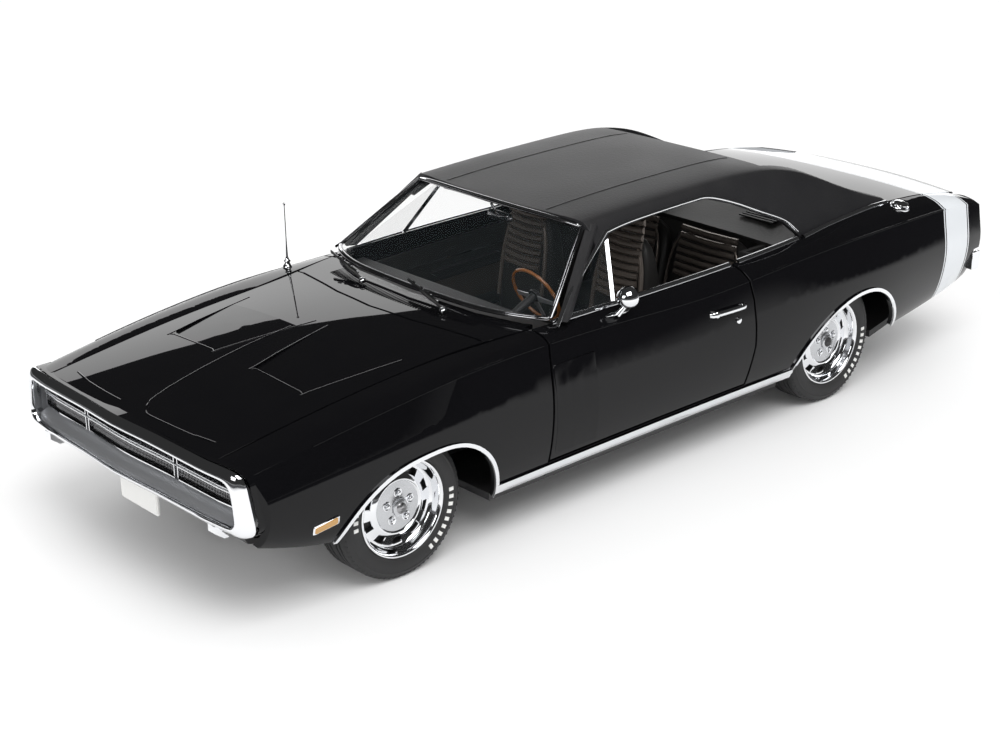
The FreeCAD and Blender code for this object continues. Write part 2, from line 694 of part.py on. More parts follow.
save("rear_bumper", rear_bumper)

# Front bumper, a loop with a tunnel behind it, and in the tunnel the grille above a sloping shelf
loop_outer_shares = [(0.921, 0.350), (0.873, 0.567), (0.0, 0.587)]
loop_inner_shares = [(0.844, 0.376), (0.807, 0.519), (0.0, 0.541)]
loop_low_centre_shares = (0.372, 0.396)
loop_corner = 4.0
tunnel_wall = 1.0
tunnel_deep = 9.5
grille_setback = 4.6
grille_wall = 1.0
grille_bar = 0.5
grille_bar_deep = 0.8
grille_row_count = 6
grille_divider = 1.4
grille_low_shares = (0.830, 0.462)
shelf_lip_setback = 1.0
shelf_lip_rise = 0.5
shelf_wall = 0.9


def loop_outline(shares, low_share, shrink):
    """Return a loop outline in the YZ plane, shrunk by a gap all round."""
    low, high, top = [(y * half_width, z * height) for y, z in shares]
    right = [(low[0] - shrink, low[1] + shrink), (high[0] - shrink, high[1] - shrink), (0, top[1] - shrink)]
    left = [(-y, z) for y, z in reversed(right[:2])]
    return right + left + [(0, low_share * height + shrink)]


def loop_band(front_back, rear_back):
    """Return the space between two setbacks behind the bumper's curved front."""
    return prism(nose_line(front_back) + list(reversed(nose_line(rear_back))), "XY", 0, overrun)


def loop_solid(shares, low_share, shrink):
    """Return a loop outline drawn out over the car's front half."""
    return prism(loop_outline(shares, low_share, shrink), "YZ", 0, length, loop_corner)


loop_hole = loop_solid(loop_inner_shares, loop_low_centre_shares[1], 0)
loop_ring = loop_solid(loop_outer_shares, loop_low_centre_shares[0], 0).common(loop_band(0, bumper_deep))
tunnel = loop_solid(loop_inner_shares, loop_low_centre_shares[1], -tunnel_wall).common(
    loop_band(bumper_deep / 2, tunnel_deep))
front_bumper = joined([loop_ring, tunnel]).cut(loop_hole)
save("front_bumper", front_bumper)
grille_shape = loop_solid(loop_inner_shares, loop_low_centre_shares[1], seat_gap).common(prism(
    [(grille_low_shares[0] * half_width * turn, grille_low_shares[1] * height) for turn in (1, -1)]
    + [(-half_width, height), (half_width, height)], "YZ", 0, length))
grille_back = grille_setback + grille_bar_deep
grille_plate = grille_shape.common(loop_band(grille_back, grille_back + grille_wall))
grille_face = grille_shape.common(loop_band(grille_setback, grille_back))
grille_low_z = grille_low_shares[1] * height
grille_high_z = loop_inner_shares[2][1] * height
pitch = (grille_high_z - grille_low_z) / grille_row_count
slots = []
for index in range(grille_row_count):
    middle_z = grille_low_z + (index + 0.5) * pitch
    slots.append(box(0, half_length, -half_width, half_width,
                     middle_z - (pitch - grille_bar) / 2, middle_z + (pitch - grille_bar) / 2))
bars = grille_face.cut(Part.makeCompound(slots))
divider_y = loop_inner_shares[1][0] * half_width * 0.46
dividers = []
for y in (-divider_y, 0, divider_y):
    dividers.append(grille_face.common(box(0, half_length, y - grille_divider / 2, y + grille_divider / 2,
                                           0, height)))
lip_z = loop_inner_shares[0][1] * height + shelf_lip_rise
shelf_net = []
for setback, z, half in ((shelf_lip_setback, lip_z, loop_inner_shares[0][0]),
                         (grille_back + grille_wall / 2, grille_low_z, grille_low_shares[0])):
    line = nose_line(setback)
    rise = (loop_low_centre_shares[1] - loop_inner_shares[0][1]) * height
    reach = half * half_width - 3 * seat_gap
    shelf_net.append([
        V(x, max(-reach, min(reach, y)), z + rise * (1 - abs(y) / half_width)) for x, y in line])
shelf_net.insert(1, [blend(a, b, 0.5) for a, b in zip(*shelf_net)])
shelf = pane([list(row) for row in zip(*shelf_net)], shelf_wall).common(
    loop_solid(loop_inner_shares, loop_low_centre_shares[1], seat_gap))
grille = joined([grille_plate] + bars.Solids + dividers + [shelf])
save("grille", grille)

# Valance and plate under the front bumper
valance_half = half_width * 0.80
valance_shares = [
    (0.470, 0.345), (0.476, 0.345), (0.470, 0.300), (0.446, 0.272), (0.444, 0.286), (0.464, 0.312)]
valance = prism([(x * length, z * height) for x, z in valance_shares], "XZ", -valance_half, valance_half)
save("front_valance", valance)
plate_wide = 17.0
plate_high = 8.0
plate_wall = 0.7
plate_top_z = valance_shares[0][1] * height
plate_x = valance_shares[1][0] * length + seat_gap
save("front_plate", box(plate_x, plate_x + plate_wall, -plate_wide / 2, plate_wide / 2,
                        plate_top_z - plate_high, plate_top_z))

# Base plate, cabin tub and inner fenders
tub_front_x = front_axle_x - 2.35 * tyre_radius
tub_half = half_width * 0.785
well_half = rear_track / 2 - tyre_width / 2 - base_wall
tub_step_x = rear_axle_x + 1.27 * tyre_radius
tub_rear_x = rear_axle_x + 0.4 * tyre_radius
tub_floor_z = base_bottom_z + base_wall
tub_rear_z = height * 0.66
tub_sill_z = height * 0.29
firewall_z = height * 0.645
firewall_half = half_width * 0.65
bay_half = half_width * 0.52
front_inner_half = half_width * 0.55
front_well_front_x = front_axle_x + 1.3 * tyre_radius
front_well_rear_x = front_axle_x - 1.55 * tyre_radius
rear_well_rear_x = rear_axle_x - 1.5 * tyre_radius
radiator_wall = 3.0
base_front_x = front_well_front_x + radiator_wall + seat_gap
base_rear_x = bumper_cut_x + rear_bumper_deep
base_half = half_width * 0.86
base_tail_half = half_width * 0.76
base_rise_front_x = front_axle_x + 0.7 * tyre_radius
base_rise_rear_x = rear_axle_x - 1.4 * tyre_radius
base_front_z = height * 0.215
base_tail_z = height * 0.27
base_plan = [
    (base_front_x, base_tail_half), (front_well_front_x, base_tail_half),
    (front_well_front_x, front_inner_half), (front_well_rear_x, front_inner_half),
    (front_well_rear_x, base_half), (tub_step_x, base_half), (tub_step_x, well_half),
    (rear_well_rear_x, well_half), (rear_well_rear_x, base_tail_half), (base_rear_x, base_tail_half)]
base_plan = base_plan + [(x, -y) for x, y in reversed(base_plan)]
base_side = [
    (base_front_x, base_front_z), (base_rise_front_x, base_bottom_z), (base_rise_rear_x, base_bottom_z),
    (base_rear_x, base_tail_z)]
base_side = base_side + [(x, z + base_wall) for x, z in reversed(base_side)]
base = prism(base_side, "XZ", -half_width, half_width).common(prism(base_plan, "XY", 0, height))
mount_hole_radius = 1.3
mount_front_x = front_axle_x - tyre_radius * 0.62
mount_rear_x = rear_axle_x - tyre_radius * 1.15
for x in (mount_front_x, mount_rear_x):
    base = base.cut(rod(V(x, 0, 0), V(x, 0, height), mount_hole_radius))
save("base_plate", base)


def tub_space(inset):
    """Return the tub's plan outline, inset by its wall."""
    left = [(tub_front_x - inset, tub_half - inset), (tub_step_x + inset + shut_gap, tub_half - inset),
            (tub_step_x + inset + shut_gap, well_half - inset), (tub_rear_x + inset, well_half - inset)]
    return left + [(x, -y) for x, y in reversed(left)]


tub = prism(tub_space(0), "XY", tub_floor_z, tub_rear_z)
tub = tub.cut(prism(tub_space(tub_wall), "XY", tub_floor_z + tub_wall, height))
tub_high_x = door_rear_shares[3][0] * length - 2 * shut_gap
tub = tub.cut(box(tub_high_x, half_length, -half_width, half_width, tub_sill_z, height))
firewall = box(tub_front_x, tub_front_x - tub_wall, -firewall_half, firewall_half, tub_floor_z, firewall_z)
tub = joined([tub, firewall])
save("cabin_tub", tub)
apron = box(tub_front_x + seat_gap, front_well_front_x, bay_half - tub_wall, bay_half,
            tub_floor_z + 2 * base_wall, height * 0.57)
shelf_plate = box(tub_front_x + seat_gap, front_well_front_x, bay_half, half_width * 0.68,
                  height * 0.57 - tub_wall, height * 0.57)
apron = joined([apron, shelf_plate])
radiator = box(front_well_front_x + seat_gap, front_well_front_x + radiator_wall, -bay_half, bay_half,
               base_front_z + base_wall, height * 0.565)
save("engine_bay", Part.makeCompound([apron, mirrored(apron), radiator]))

# Wheels: a tyre on a rim with a trim ring and a slotted disc
tyre_bead_width = tyre_width * 0.8
tyre_shoulder_radius = bead_radius + (tyre_radius - bead_radius) * 0.64
half_bead = tyre_bead_width / 2
tyre_profile = [
    (bead_radius, -half_bead), (tyre_shoulder_radius, -tyre_width / 2), (tyre_radius, -tread_width / 2),
    (tyre_radius, tread_width / 2), (tyre_shoulder_radius, tyre_width / 2), (bead_radius, half_bead)]
lip_step = rim_lip_radius - bead_radius
rim_inside = bead_radius - rim_wall
disc_out = half_bead - rim_disc_depth
rim_profile = [
    (bead_radius, -half_bead), (bead_radius, half_bead), (rim_lip_radius, half_bead + lip_step),
    (rim_inside, half_bead + lip_step / 2), (rim_disc_radius, disc_out),
    (hub_radius, disc_out + rim_wall / 2), (hub_radius, disc_out + rim_disc_depth),
    (hub_bore / 2, disc_out + rim_disc_depth), (hub_bore / 2, disc_out - rim_disc_depth),
    (hub_radius, disc_out - rim_disc_depth),
    (hub_radius, disc_out - rim_wall), (rim_inside, disc_out - rim_wall), (rim_inside, -half_bead)]
slot_reach = 0.80 * rim_disc_radius
slot_wide = 1.7
slot_long = 2.3


def wheel(x, y):
    """Return a left wheel's tyre and rim about its own axle."""
    tyre = turned_y(tyre_profile, x, y, tyre_radius, wheel_flat_count)
    rim = turned_y(rim_profile, x, y, tyre_radius, wheel_flat_count)
    rim = rim.cut(rod(V(x, y - tyre_width, tyre_radius), V(x, y + tyre_width, tyre_radius), hub_bore))
    for index in range(slot_count):
        angle = 360 * (index + 0.5) / slot_count
        slot = box(x - slot_long / 2, x + slot_long / 2, y - tyre_width, y + tyre_width,
                   tyre_radius + slot_reach - slot_wide / 2, tyre_radius + slot_reach + slot_wide / 2)
        slot.rotate(V(x, y, tyre_radius), V(0, 1, 0), angle)
        rim = rim.cut(slot)
    return tyre, rim


wheel_places = {"front": (front_axle_x, front_track / 2), "rear": (rear_axle_x, rear_track / 2)}
for place, (x, y) in wheel_places.items():
    tyre, rim = wheel(x, y)
    save_pair("tyre_" + place, tyre)
    save_pair("rim_" + place, rim)

# Front crossmember with its kingpins, and the knuckles that carry the front wheels
arm_half = 4.0
arm_wall = 1.5
beam_low_z = tub_floor_z + seat_gap
knuckle_half_height = 3.2
arm_low_z = tyre_radius - knuckle_half_height - shut_gap / 2 - arm_wall
arm_high_z = tyre_radius + knuckle_half_height + shut_gap / 2
arm_tip_y = kingpin_y + 1.5 * kingpin_radius
upright_y = bay_half + seat_gap + arm_wall
crossmember = [box(front_axle_x - arm_half, front_axle_x + arm_half, -upright_y, upright_y,
                   beam_low_z, beam_low_z + arm_wall)]
for turn in (-1, 1):
    crossmember.append(box(front_axle_x - arm_half, front_axle_x + arm_half,
                           turn * bay_half + turn * seat_gap, turn * upright_y,
                           beam_low_z, arm_high_z + arm_wall))
    for low_z in (arm_low_z, arm_high_z):
        crossmember.append(box(front_axle_x - arm_half / 2, front_axle_x + arm_half / 2, turn * upright_y,
                               turn * arm_tip_y, low_z, low_z + arm_wall))
    crossmember.append(rod(V(front_axle_x, turn * kingpin_y, arm_low_z),
                           V(front_axle_x, turn * kingpin_y, arm_high_z + arm_wall / 2), kingpin_radius))
save("front_crossmember", joined(crossmember))
knuckle_half = 2.4
spindle_radius = hub_bore - pin_fit
spindle_tip_y = front_track / 2 + disc_out + rim_disc_depth
knuckle = box(front_axle_x - knuckle_half, front_axle_x + knuckle_half,
              kingpin_y - knuckle_half / 1.5, kingpin_y + knuckle_half / 1.5,
              tyre_radius - knuckle_half_height, tyre_radius + knuckle_half_height)
knuckle = joined([knuckle, rod(V(front_axle_x, kingpin_y, tyre_radius),
                               V(front_axle_x, spindle_tip_y, tyre_radius), spindle_radius)])
knuckle = knuckle.cut(rod(V(front_axle_x, kingpin_y, 0), V(front_axle_x, kingpin_y, height),
                          kingpin_radius + pin_fit))
save_pair("knuckle", knuckle)

# Rear axle on its leaf springs
axle_tube_radius = 2.2
diff_radius = 3.4
diff_wide = 9.0
spring_y = half_width * 0.46
spring_wide = 3.0
spring_wall = 1.0
spring_reach = 18.0
spring_front_x = tub_rear_x - shut_gap
rear_tip_y = rear_track / 2 + disc_out + rim_disc_depth
rear_hub_y = rear_track / 2 + disc_out - rim_disc_depth - seat_gap
axle_parts = [
    rod(V(rear_axle_x, -rear_tip_y, tyre_radius), V(rear_axle_x, rear_tip_y, tyre_radius), spindle_radius),
    rod(V(rear_axle_x, -rear_hub_y, tyre_radius), V(rear_axle_x, rear_hub_y, tyre_radius), axle_tube_radius),
    rod(V(rear_axle_x, -diff_wide / 2, tyre_radius), V(rear_axle_x, diff_wide / 2, tyre_radius), diff_radius)]
spring_z = tyre_radius - axle_tube_radius - spring_wall * 0.5
for turn in (-1, 1):
    axle_parts.append(box(rear_axle_x - spring_reach, spring_front_x,
                          turn * spring_y - spring_wide / 2, turn * spring_y + spring_wide / 2,
                          spring_z - spring_wall, spring_z))
    axle_parts.append(box(rear_axle_x - spring_wide / 2, rear_axle_x + spring_wide / 2,
                          turn * spring_y - spring_wide / 2, turn * spring_y + spring_wide / 2,
                          spring_z - spring_wall, tyre_radius))
    for tip in (rear_axle_x - spring_reach, spring_front_x - spring_wide):
        axle_parts.append(box(tip, tip + spring_wide,
                              turn * spring_y - spring_wide / 2, turn * spring_y + spring_wide / 2,
                              tub_floor_z + seat_gap, spring_z))
rear_axle = joined(axle_parts)
save("rear_axle", rear_axle)

# Hinge hooks: a boss on the pin, and a hook that runs round the edge it must clear


def hook(back, drop, wide):
    """Return a hinge hook in its own frame: pin along Z at zero, panel edge ahead, skin above."""
    inner = math.hypot(back, drop) + hook_clearance
    outer = inner + goose_neck_wall
    arc = Part.makeCylinder(outer, wide).cut(Part.makeCylinder(inner, wide))
    reach = math.sqrt(inner * inner - (drop - body_wall) ** 2)
    keep = prism([(0, -outer), (outer, -outer), (outer, drop - body_wall - 3 * seat_gap),
                  (0, drop - body_wall - 3 * seat_gap)],
                 "XY", 0, wide)
    spoke = box(-goose_neck_wall / 2, goose_neck_wall / 2, -outer, 0, 0, wide)
    pad_top = drop - body_wall - 3 * seat_gap
    pad = box(reach, reach + 4 * goose_neck_wall, pad_top - goose_neck_wall, pad_top, 0, wide)
    parts = [arc.common(keep), spoke, pad, Part.makeCylinder(hinge_boss_radius, wide)]
    return joined(parts).cut(Part.makeCylinder(hinge_pin_radius + pin_fit, wide))


def placed(shape, origin, along, across):
    """Return a shape from its own frame, with its first two axes laid along the given ones."""
    third = along.cross(across)
    matrix = FreeCAD.Matrix(along.x, across.x, third.x, origin.x, along.y, across.y, third.y, origin.y,
                            along.z, across.z, third.z, origin.z, 0, 0, 0, 1)
    return shape.transformGeometry(matrix)


hood_corner_x = cowl_line_shares[2][0] * length + hood_gap
hood_corner_z = height * 0.690
hood_pivot_x = hood_corner_x - hood_hinge_back
hood_pivot_z = hood_corner_z - hood_hinge_drop
hood_hook = hook(hood_hinge_back, hood_hinge_drop, goose_neck_width)
hood_hook = placed(hood_hook, V(hood_pivot_x, hood_hinge_span + goose_neck_width / 2, hood_pivot_z),
                   V(1, 0, 0), V(0, 0, 1))
save("hood_hinges", Part.makeCompound([hood_hook, mirrored(hood_hook)]))
lid_edge_x = lid_front_x - lid_gap
lid_edge_z = height * 0.720
lid_pivot_x = lid_edge_x + lid_hinge_back
lid_pivot_z = lid_edge_z - lid_hinge_drop
lid_hook = hook(lid_hinge_back, lid_hinge_drop, goose_neck_width)
lid_hook = placed(lid_hook, V(lid_pivot_x, lid_hinge_span - goose_neck_width / 2, lid_pivot_z),
                  V(-1, 0, 0), V(0, 0, 1))
save("lid_hinges", Part.makeCompound([lid_hook, mirrored(lid_hook)]))
door_pivot_x = door_front_shares[2][0] * length + door_hinge_ahead
door_hook_inner = math.hypot(door_hinge_ahead + 2 * shut_gap, half_width - door_hinge_y) + hook_clearance


def door_hook(z):
    """Return a door's hinge hook at a height, round the fender's rear edge to the door's inner face."""
    outer = door_hook_inner + goose_neck_wall
    drop = door_hinge_y - (door_inner_y - door_inner_lean * (z + goose_neck_width / 2) / height) + seat_gap
    arc = Part.makeCylinder(outer, goose_neck_width).cut(Part.makeCylinder(door_hook_inner, goose_neck_width))
    reach = math.sqrt(door_hook_inner * door_hook_inner - drop * drop)
    keep = prism([(0, -outer), (outer, -outer), (outer, -drop), (0, -drop)], "XY", 0, goose_neck_width)
    spoke = box(-goose_neck_wall / 2, goose_neck_wall / 2, -outer, 0, 0, goose_neck_width)
    pad = box(reach, reach + 4 * goose_neck_wall, -drop - goose_neck_wall, -drop, 0, goose_neck_width)
    whole = joined([arc.common(keep), spoke, pad, Part.makeCylinder(hinge_boss_radius, goose_neck_width)])
    whole = whole.cut(Part.makeCylinder(hinge_pin_radius + pin_fit, goose_neck_width))
    return placed(whole, V(door_pivot_x, door_hinge_y, z + goose_neck_width), V(-1, 0, 0), V(0, 1, 0))


door_hooks = [door_hook(door_hinge_low_z), door_hook(door_hinge_high_z)]

# Hinge pins on brackets, carried by the firewall, the shelf and the fenders
bracket_wall = 1.4
bracket_gap = 0.3
pins = []
for pivot_x, pivot_z, span, toward in ((hood_pivot_x, hood_pivot_z, hood_hinge_span, tub_front_x + seat_gap),
                                       (lid_pivot_x, lid_pivot_z, lid_hinge_span, None)):
    pin_start = span - goose_neck_width / 2 - bracket_gap
    pin_end = span + goose_neck_width / 2 + bracket_gap + bracket_wall
    pin = rod(V(pivot_x, pin_start, pivot_z), V(pivot_x, pin_end, pivot_z), hinge_pin_radius)
    if toward is not None:
        plate = box(toward, pivot_x + hinge_boss_radius, pin_end - bracket_wall, pin_end,
                    pivot_z - hinge_boss_radius * 2, pivot_z + hinge_boss_radius / 2)
    else:
        plate = box(pivot_x - hinge_boss_radius, pivot_x + hinge_boss_radius, pin_end - bracket_wall, pin_end,
                    pivot_z - hinge_boss_radius, lid_edge_z + body_wall / 4 - body_wall)
    pins.append(joined([pin, plate]))
    pins.append(mirrored(pins[-1]))
door_pin = rod(V(door_pivot_x, door_hinge_y, door_hinge_low_z - bracket_gap),
               V(door_pivot_x, door_hinge_y, door_hinge_high_z + goose_neck_width + bracket_gap),
               hinge_pin_radius)
door_bracket_z = (door_hinge_low_z + door_hinge_high_z + goose_neck_width) / 2
door_bracket = box(door_pivot_x - hinge_boss_radius / 2, door_pivot_x + hinge_boss_radius / 2,
                   door_hinge_y, half_width * 0.93, door_bracket_z - 2 * bracket_wall,
                   door_bracket_z + 2 * bracket_wall).cut(side_wall)
door_pins = joined([door_pin, largest(door_bracket)])
pins.append(door_pins)
pins.append(mirrored(door_pins))
save("hinge_pins", Part.makeCompound(pins))

# Dashboard, steering wheel, console and seats
dash_half = half_width * 0.735
dash_profile_shares = [
    (0.169, 0.655), (0.128, 0.665), (0.122, 0.64), (0.126, 0.53), (0.140, 0.50), (0.169, 0.52)]
dashboard = prism([(x * length, z * height) for x, z in dash_profile_shares], "XZ",
                  -dash_half, dash_half, body_wall)
save("dashboard", dashboard)
seat_y = half_width * 0.36
wheel_centre = V(length * 0.084, seat_y, height * 0.665)
wheel_tilt = 24.0
wheel_ring_radius = 8.4
wheel_ring_wall = 0.9
column_radius = 1.3
spoke_wide = 1.4
column_foot_x = dash_profile_shares[2][0] * length - seat_gap
ring_profile = [(wheel_ring_radius - wheel_ring_wall / 2, 0), (wheel_ring_radius, wheel_ring_wall / 2),
                (wheel_ring_radius + wheel_ring_wall / 2, 0), (wheel_ring_radius, -wheel_ring_wall / 2)]
ring_face = Part.Face(Part.makePolygon([V(a, 0, r) for r, a in ring_profile + ring_profile[:1]]))
steering = [ring_face.revolve(V(0, 0, 0), V(1, 0, 0), 360)]
for index in range(3):
    arm = box(0, wheel_ring_wall, -spoke_wide / 2, spoke_wide / 2, 0, wheel_ring_radius)
    arm.rotate(V(0, 0, 0), V(1, 0, 0), 90 + 90 * index)
    steering.append(arm)
steering.append(rod(V(-wheel_ring_wall, 0, 0), V(2 * wheel_ring_wall, 0, 0), column_radius * 1.6))
column_length = (column_foot_x - wheel_centre.x) / math.cos(math.radians(wheel_tilt)) - column_radius
steering.append(rod(V(0, 0, 0), V(column_length, 0, 0), column_radius))
steering = joined(steering)
steering.rotate(V(0, 0, 0), V(0, 1, 0), wheel_tilt)
steering.translate(wheel_centre)
save("steering_wheel", steering)
cabin_floor_z = tub_floor_z + tub_wall
console_half = half_width * 0.075
console = box(length * -0.02, tub_front_x - tub_wall - seat_gap - base_wall, -console_half, console_half,
              cabin_floor_z, cabin_floor_z + height * 0.13)
save("console", console)
seat_half = half_width * 0.2
seat_profile_shares = [
    (0.066, 0.195), (0.070, 0.36), (0.060, 0.40), (-0.010, 0.365), (-0.030, 0.80), (-0.046, 0.80),
    (-0.062, 0.40), (-0.050, 0.195)]
seat_round = 1.6
seat = prism([(x * length, max(z * height, cabin_floor_z)) for x, z in seat_profile_shares], "XZ",
             seat_y - seat_half, seat_y + seat_half, seat_round)
save_both("front_seats", seat)
bench_half = well_half - tub_wall - seat_gap - shut_gap
bench_profile_shares = [
    (-0.090, 0.195), (-0.085, 0.33), (-0.095, 0.37), (-0.150, 0.345), (-0.172, 0.68), (-0.184, 0.66),
    (-0.184, 0.195)]
bench_rear_x = tub_rear_x + tub_wall + seat_gap
bench_profile = [(max(x * length, bench_rear_x), max(z * height, cabin_floor_z))
                 for x, z in bench_profile_shares]
bench = prism(bench_profile, "XZ", -bench_half, bench_half, seat_round / 2)
save("rear_bench", bench)

# Engine, driveline and exhaust
engine_half = half_width * 0.17
engine_front_x = front_well_front_x - tyre_radius * 0.45
engine_rear_x = front_axle_x - tyre_radius * 1.4
engine_low_z = beam_low_z + arm_wall + seat_gap
engine_high_z = height * 0.43
engine = box(engine_rear_x, engine_front_x, -engine_half, engine_half, engine_low_z, engine_high_z)
head_wall = engine_half * 0.55
for turn in (-1, 1):
    engine = engine.fuse(box(engine_rear_x + head_wall / 2, engine_front_x - head_wall / 2,
                             turn * engine_half * 0.6, turn * engine_half * 1.6,
                             engine_high_z - head_wall, engine_high_z + head_wall))
engine = joined([engine, box(engine_rear_x + head_wall, engine_front_x - head_wall, -engine_half * 0.8,
                             engine_half * 0.8, engine_high_z - head_wall, engine_high_z + head_wall)])
save("engine", engine)
cleaner_radius = 9.5
cleaner_wall = 3.6
cleaner_x = (engine_rear_x + engine_front_x) / 2
save("air_cleaner", rod(V(cleaner_x, 0, engine_high_z + head_wall),
                        V(cleaner_x, 0, engine_high_z + head_wall + cleaner_wall), cleaner_radius))
shaft_radius = 1.3
shaft_z = base_bottom_z - shaft_radius - seat_gap
gearbox_half = half_width * 0.11
gearbox_front_x = front_axle_x - tyre_radius
gearbox_rear_x = gearbox_front_x - wheelbase * 0.2
gearbox = box(gearbox_rear_x, gearbox_front_x, -gearbox_half, gearbox_half, shaft_z - shaft_radius,
              base_bottom_z - seat_gap)
shaft = rod(V(gearbox_rear_x, 0, shaft_z), V(rear_axle_x + diff_radius, 0, shaft_z), shaft_radius)
save("driveline", joined([gearbox, shaft]))
pipe_radius = 1.3
pipe_y = half_width * 0.4
pipe_z = base_bottom_z - pipe_radius - seat_gap
muffler_half = 3.2
muffler_long = 26.0
muffler_x = rear_axle_x + wheelbase * 0.25
pipe_points = [V(gearbox_front_x, pipe_y, pipe_z), V(base_rise_rear_x - pipe_radius, pipe_y, pipe_z),
               V(-half_length * 0.975, pipe_y, base_tail_z - 2 * pipe_radius)]
pipe = [rod(pipe_points[0], pipe_points[1], pipe_radius), rod(pipe_points[1], pipe_points[2], pipe_radius),
        Part.makeSphere(pipe_radius, pipe_points[1]),
        box(muffler_x - muffler_long / 2, muffler_x + muffler_long / 2, pipe_y - muffler_half,
            pipe_y + muffler_half, pipe_z - pipe_radius, pipe_z + pipe_radius)]
pipe = joined(pipe)
save("exhaust", Part.makeCompound([pipe, mirrored(pipe)]))
tank_half = half_width * 0.3
tank_front_x = base_rise_rear_x - tyre_radius * 0.1
tank_rear_x = tank_front_x - tyre_radius * 1.3
slope = (base_tail_z - base_bottom_z) / (base_rise_rear_x - base_rear_x)
tank = prism([(tank_front_x, base_bottom_z - seat_gap), (tank_rear_x, base_bottom_z - seat_gap),
              (tank_rear_x, base_bottom_z + (base_rise_rear_x - tank_rear_x) * slope - seat_gap),
              (tank_front_x, base_bottom_z + (base_rise_rear_x - tank_front_x) * slope - seat_gap)],
             "XZ", -tank_half, tank_half)
save("fuel_tank", tank)
trunk_floor_z = base_tail_z + base_wall + seat_gap
trunk_front_x = tub_rear_x - seat_gap
trunk_half = half_width * 0.62
trunk = box(tail_front_x - seat_gap, trunk_front_x, -trunk_half, trunk_half,
            trunk_floor_z, trunk_floor_z + tub_wall)
save("trunk_floor", trunk)

# Bright trim that follows the body's skin: rocker mouldings and wheel lips
trim_skin = side_layer(trim_rise, -seat_gap / 2)
rocker_front_x = front_axle_x + front_arch_shares[-2][0] * tyre_radius - shut_gap
rocker_rear_x = rear_axle_x + rear_arch_shares[1][0] * tyre_radius + shut_gap
rocker_trim = trim_skin.common(box(rocker_rear_x, rocker_front_x, 0, half_width * 1.2,
                                   rocker_trim_bottom_z, rocker_trim_bottom_z + rocker_trim_height))
lip_wide = 1.1
lips = []
for shares, axle_x in ((front_arch_shares, front_axle_x), (rear_arch_shares, rear_axle_x)):
    lip = trim_skin.common(arch_cut(shares, axle_x, lip_wide)).cut(arch_cut(shares, axle_x))
    lips.append(largest(lip.cut(box(rocker_rear_x, rocker_front_x, 0, overrun, 0, rocker_trim_bottom_z
                                    + rocker_trim_height + seat_gap))))
save_both("body_trim", Part.makeCompound([largest(rocker_trim)] + lips))

# Small fittings on the body and doors
handle_z = height * 0.567
handle_rear_gap = 4.0
handle_long = 13.0
handle_front_x = door_rear_x + shut_gap + handle_rear_gap + handle_long
handle_high = 1.6
handle_deep = 1.2
skin_block = side_layer(handle_deep, -seat_gap / 2)
handle = skin_block.common(box(handle_front_x - handle_long, handle_front_x,
                               half_width * 0.8, half_width * 1.2,
                               handle_z - handle_high / 2, handle_z + handle_high / 2))
save_pair("door_fittings", Part.makeCompound([vent_post, largest(handle)] + door_hooks))
mirror_x = length * 0.066
mirror_y = half_width * 0.905
mirror_z = height * 0.735
mirror_radius = 3.0
mirror_deep = 2.6
mirror_stem = 0.7
mirror_foot = V(mirror_x + mirror_deep, half_width * 0.885, height * 0.672)
mirror_head = rod(V(mirror_x - mirror_deep / 2, mirror_y, mirror_z),
                  V(mirror_x + mirror_deep / 2, mirror_y, mirror_z), mirror_radius)
mirror = joined([mirror_head, rod(mirror_foot, V(mirror_x, mirror_y, mirror_z), mirror_stem)]).cut(door)
save("door_mirror", largest(mirror))
marker_front_x = front_axle_x + tyre_radius * 1.62
marker_long = 6.6
marker_high = 2.0
marker_z = height * 0.322
marker = trim_skin.common(box(marker_front_x - marker_long, marker_front_x, 0, half_width * 1.2,
                              marker_z - marker_high / 2, marker_z + marker_high / 2))
save("side_markers", Part.makeCompound([largest(marker), mirrored(largest(marker))]))
cap_x = length * -0.357
cap_y = half_width * 0.81
cap_z = height * 0.715
cap_radius = 3.0
cap_wall = 1.6
save("fuel_cap", largest(rod(V(cap_x, cap_y, cap_z - cap_wall), V(cap_x, cap_y, cap_z + cap_wall / 2),
                             cap_radius).cut(side_layer(seat_gap / 2, body_wall * 2))))
antenna_x = length * 0.206
antenna_y = -half_width * 0.84
antenna_foot_z = height * 0.655
antenna_tip_z = height * 0.93
antenna_radius = 0.35
antenna_base_radius = 1.1
antenna_base_high = 1.6
antenna_foot = V(antenna_x, antenna_y, antenna_foot_z)
antenna_base_top = V(antenna_x, antenna_y, antenna_foot_z + antenna_base_high + body_wall)
antenna = joined([rod(antenna_foot, V(antenna_x, antenna_y, antenna_tip_z), antenna_radius),
                  rod(antenna_foot, antenna_base_top, antenna_base_radius)])
antenna = largest(antenna.cut(mirrored(side_layer(seat_gap / 2, body_wall * 3))))
save("antenna", antenna)
wiper_radius = 0.4
wiper_long = 20.0
wipers = []
for y in (half_width * 0.35, -half_width * 0.28):
    foot = V(length * 0.196, y, height * 0.715)
    tip = V(length * 0.178, y - wiper_long, height * 0.748)
    wipers.append(rod(foot, tip, wiper_radius))
save("wipers", Part.makeCompound(wipers))
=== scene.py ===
"""Muscle car at 1:18: paint, bright trim, wheels, cabin and engine bay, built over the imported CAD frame."""

import json
import math

import bmesh
import bpy
import numpy as np
from bpy.props import FloatProperty, FloatVectorProperty, IntProperty, PointerProperty
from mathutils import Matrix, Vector
from mathutils.bvhtree import BVHTree

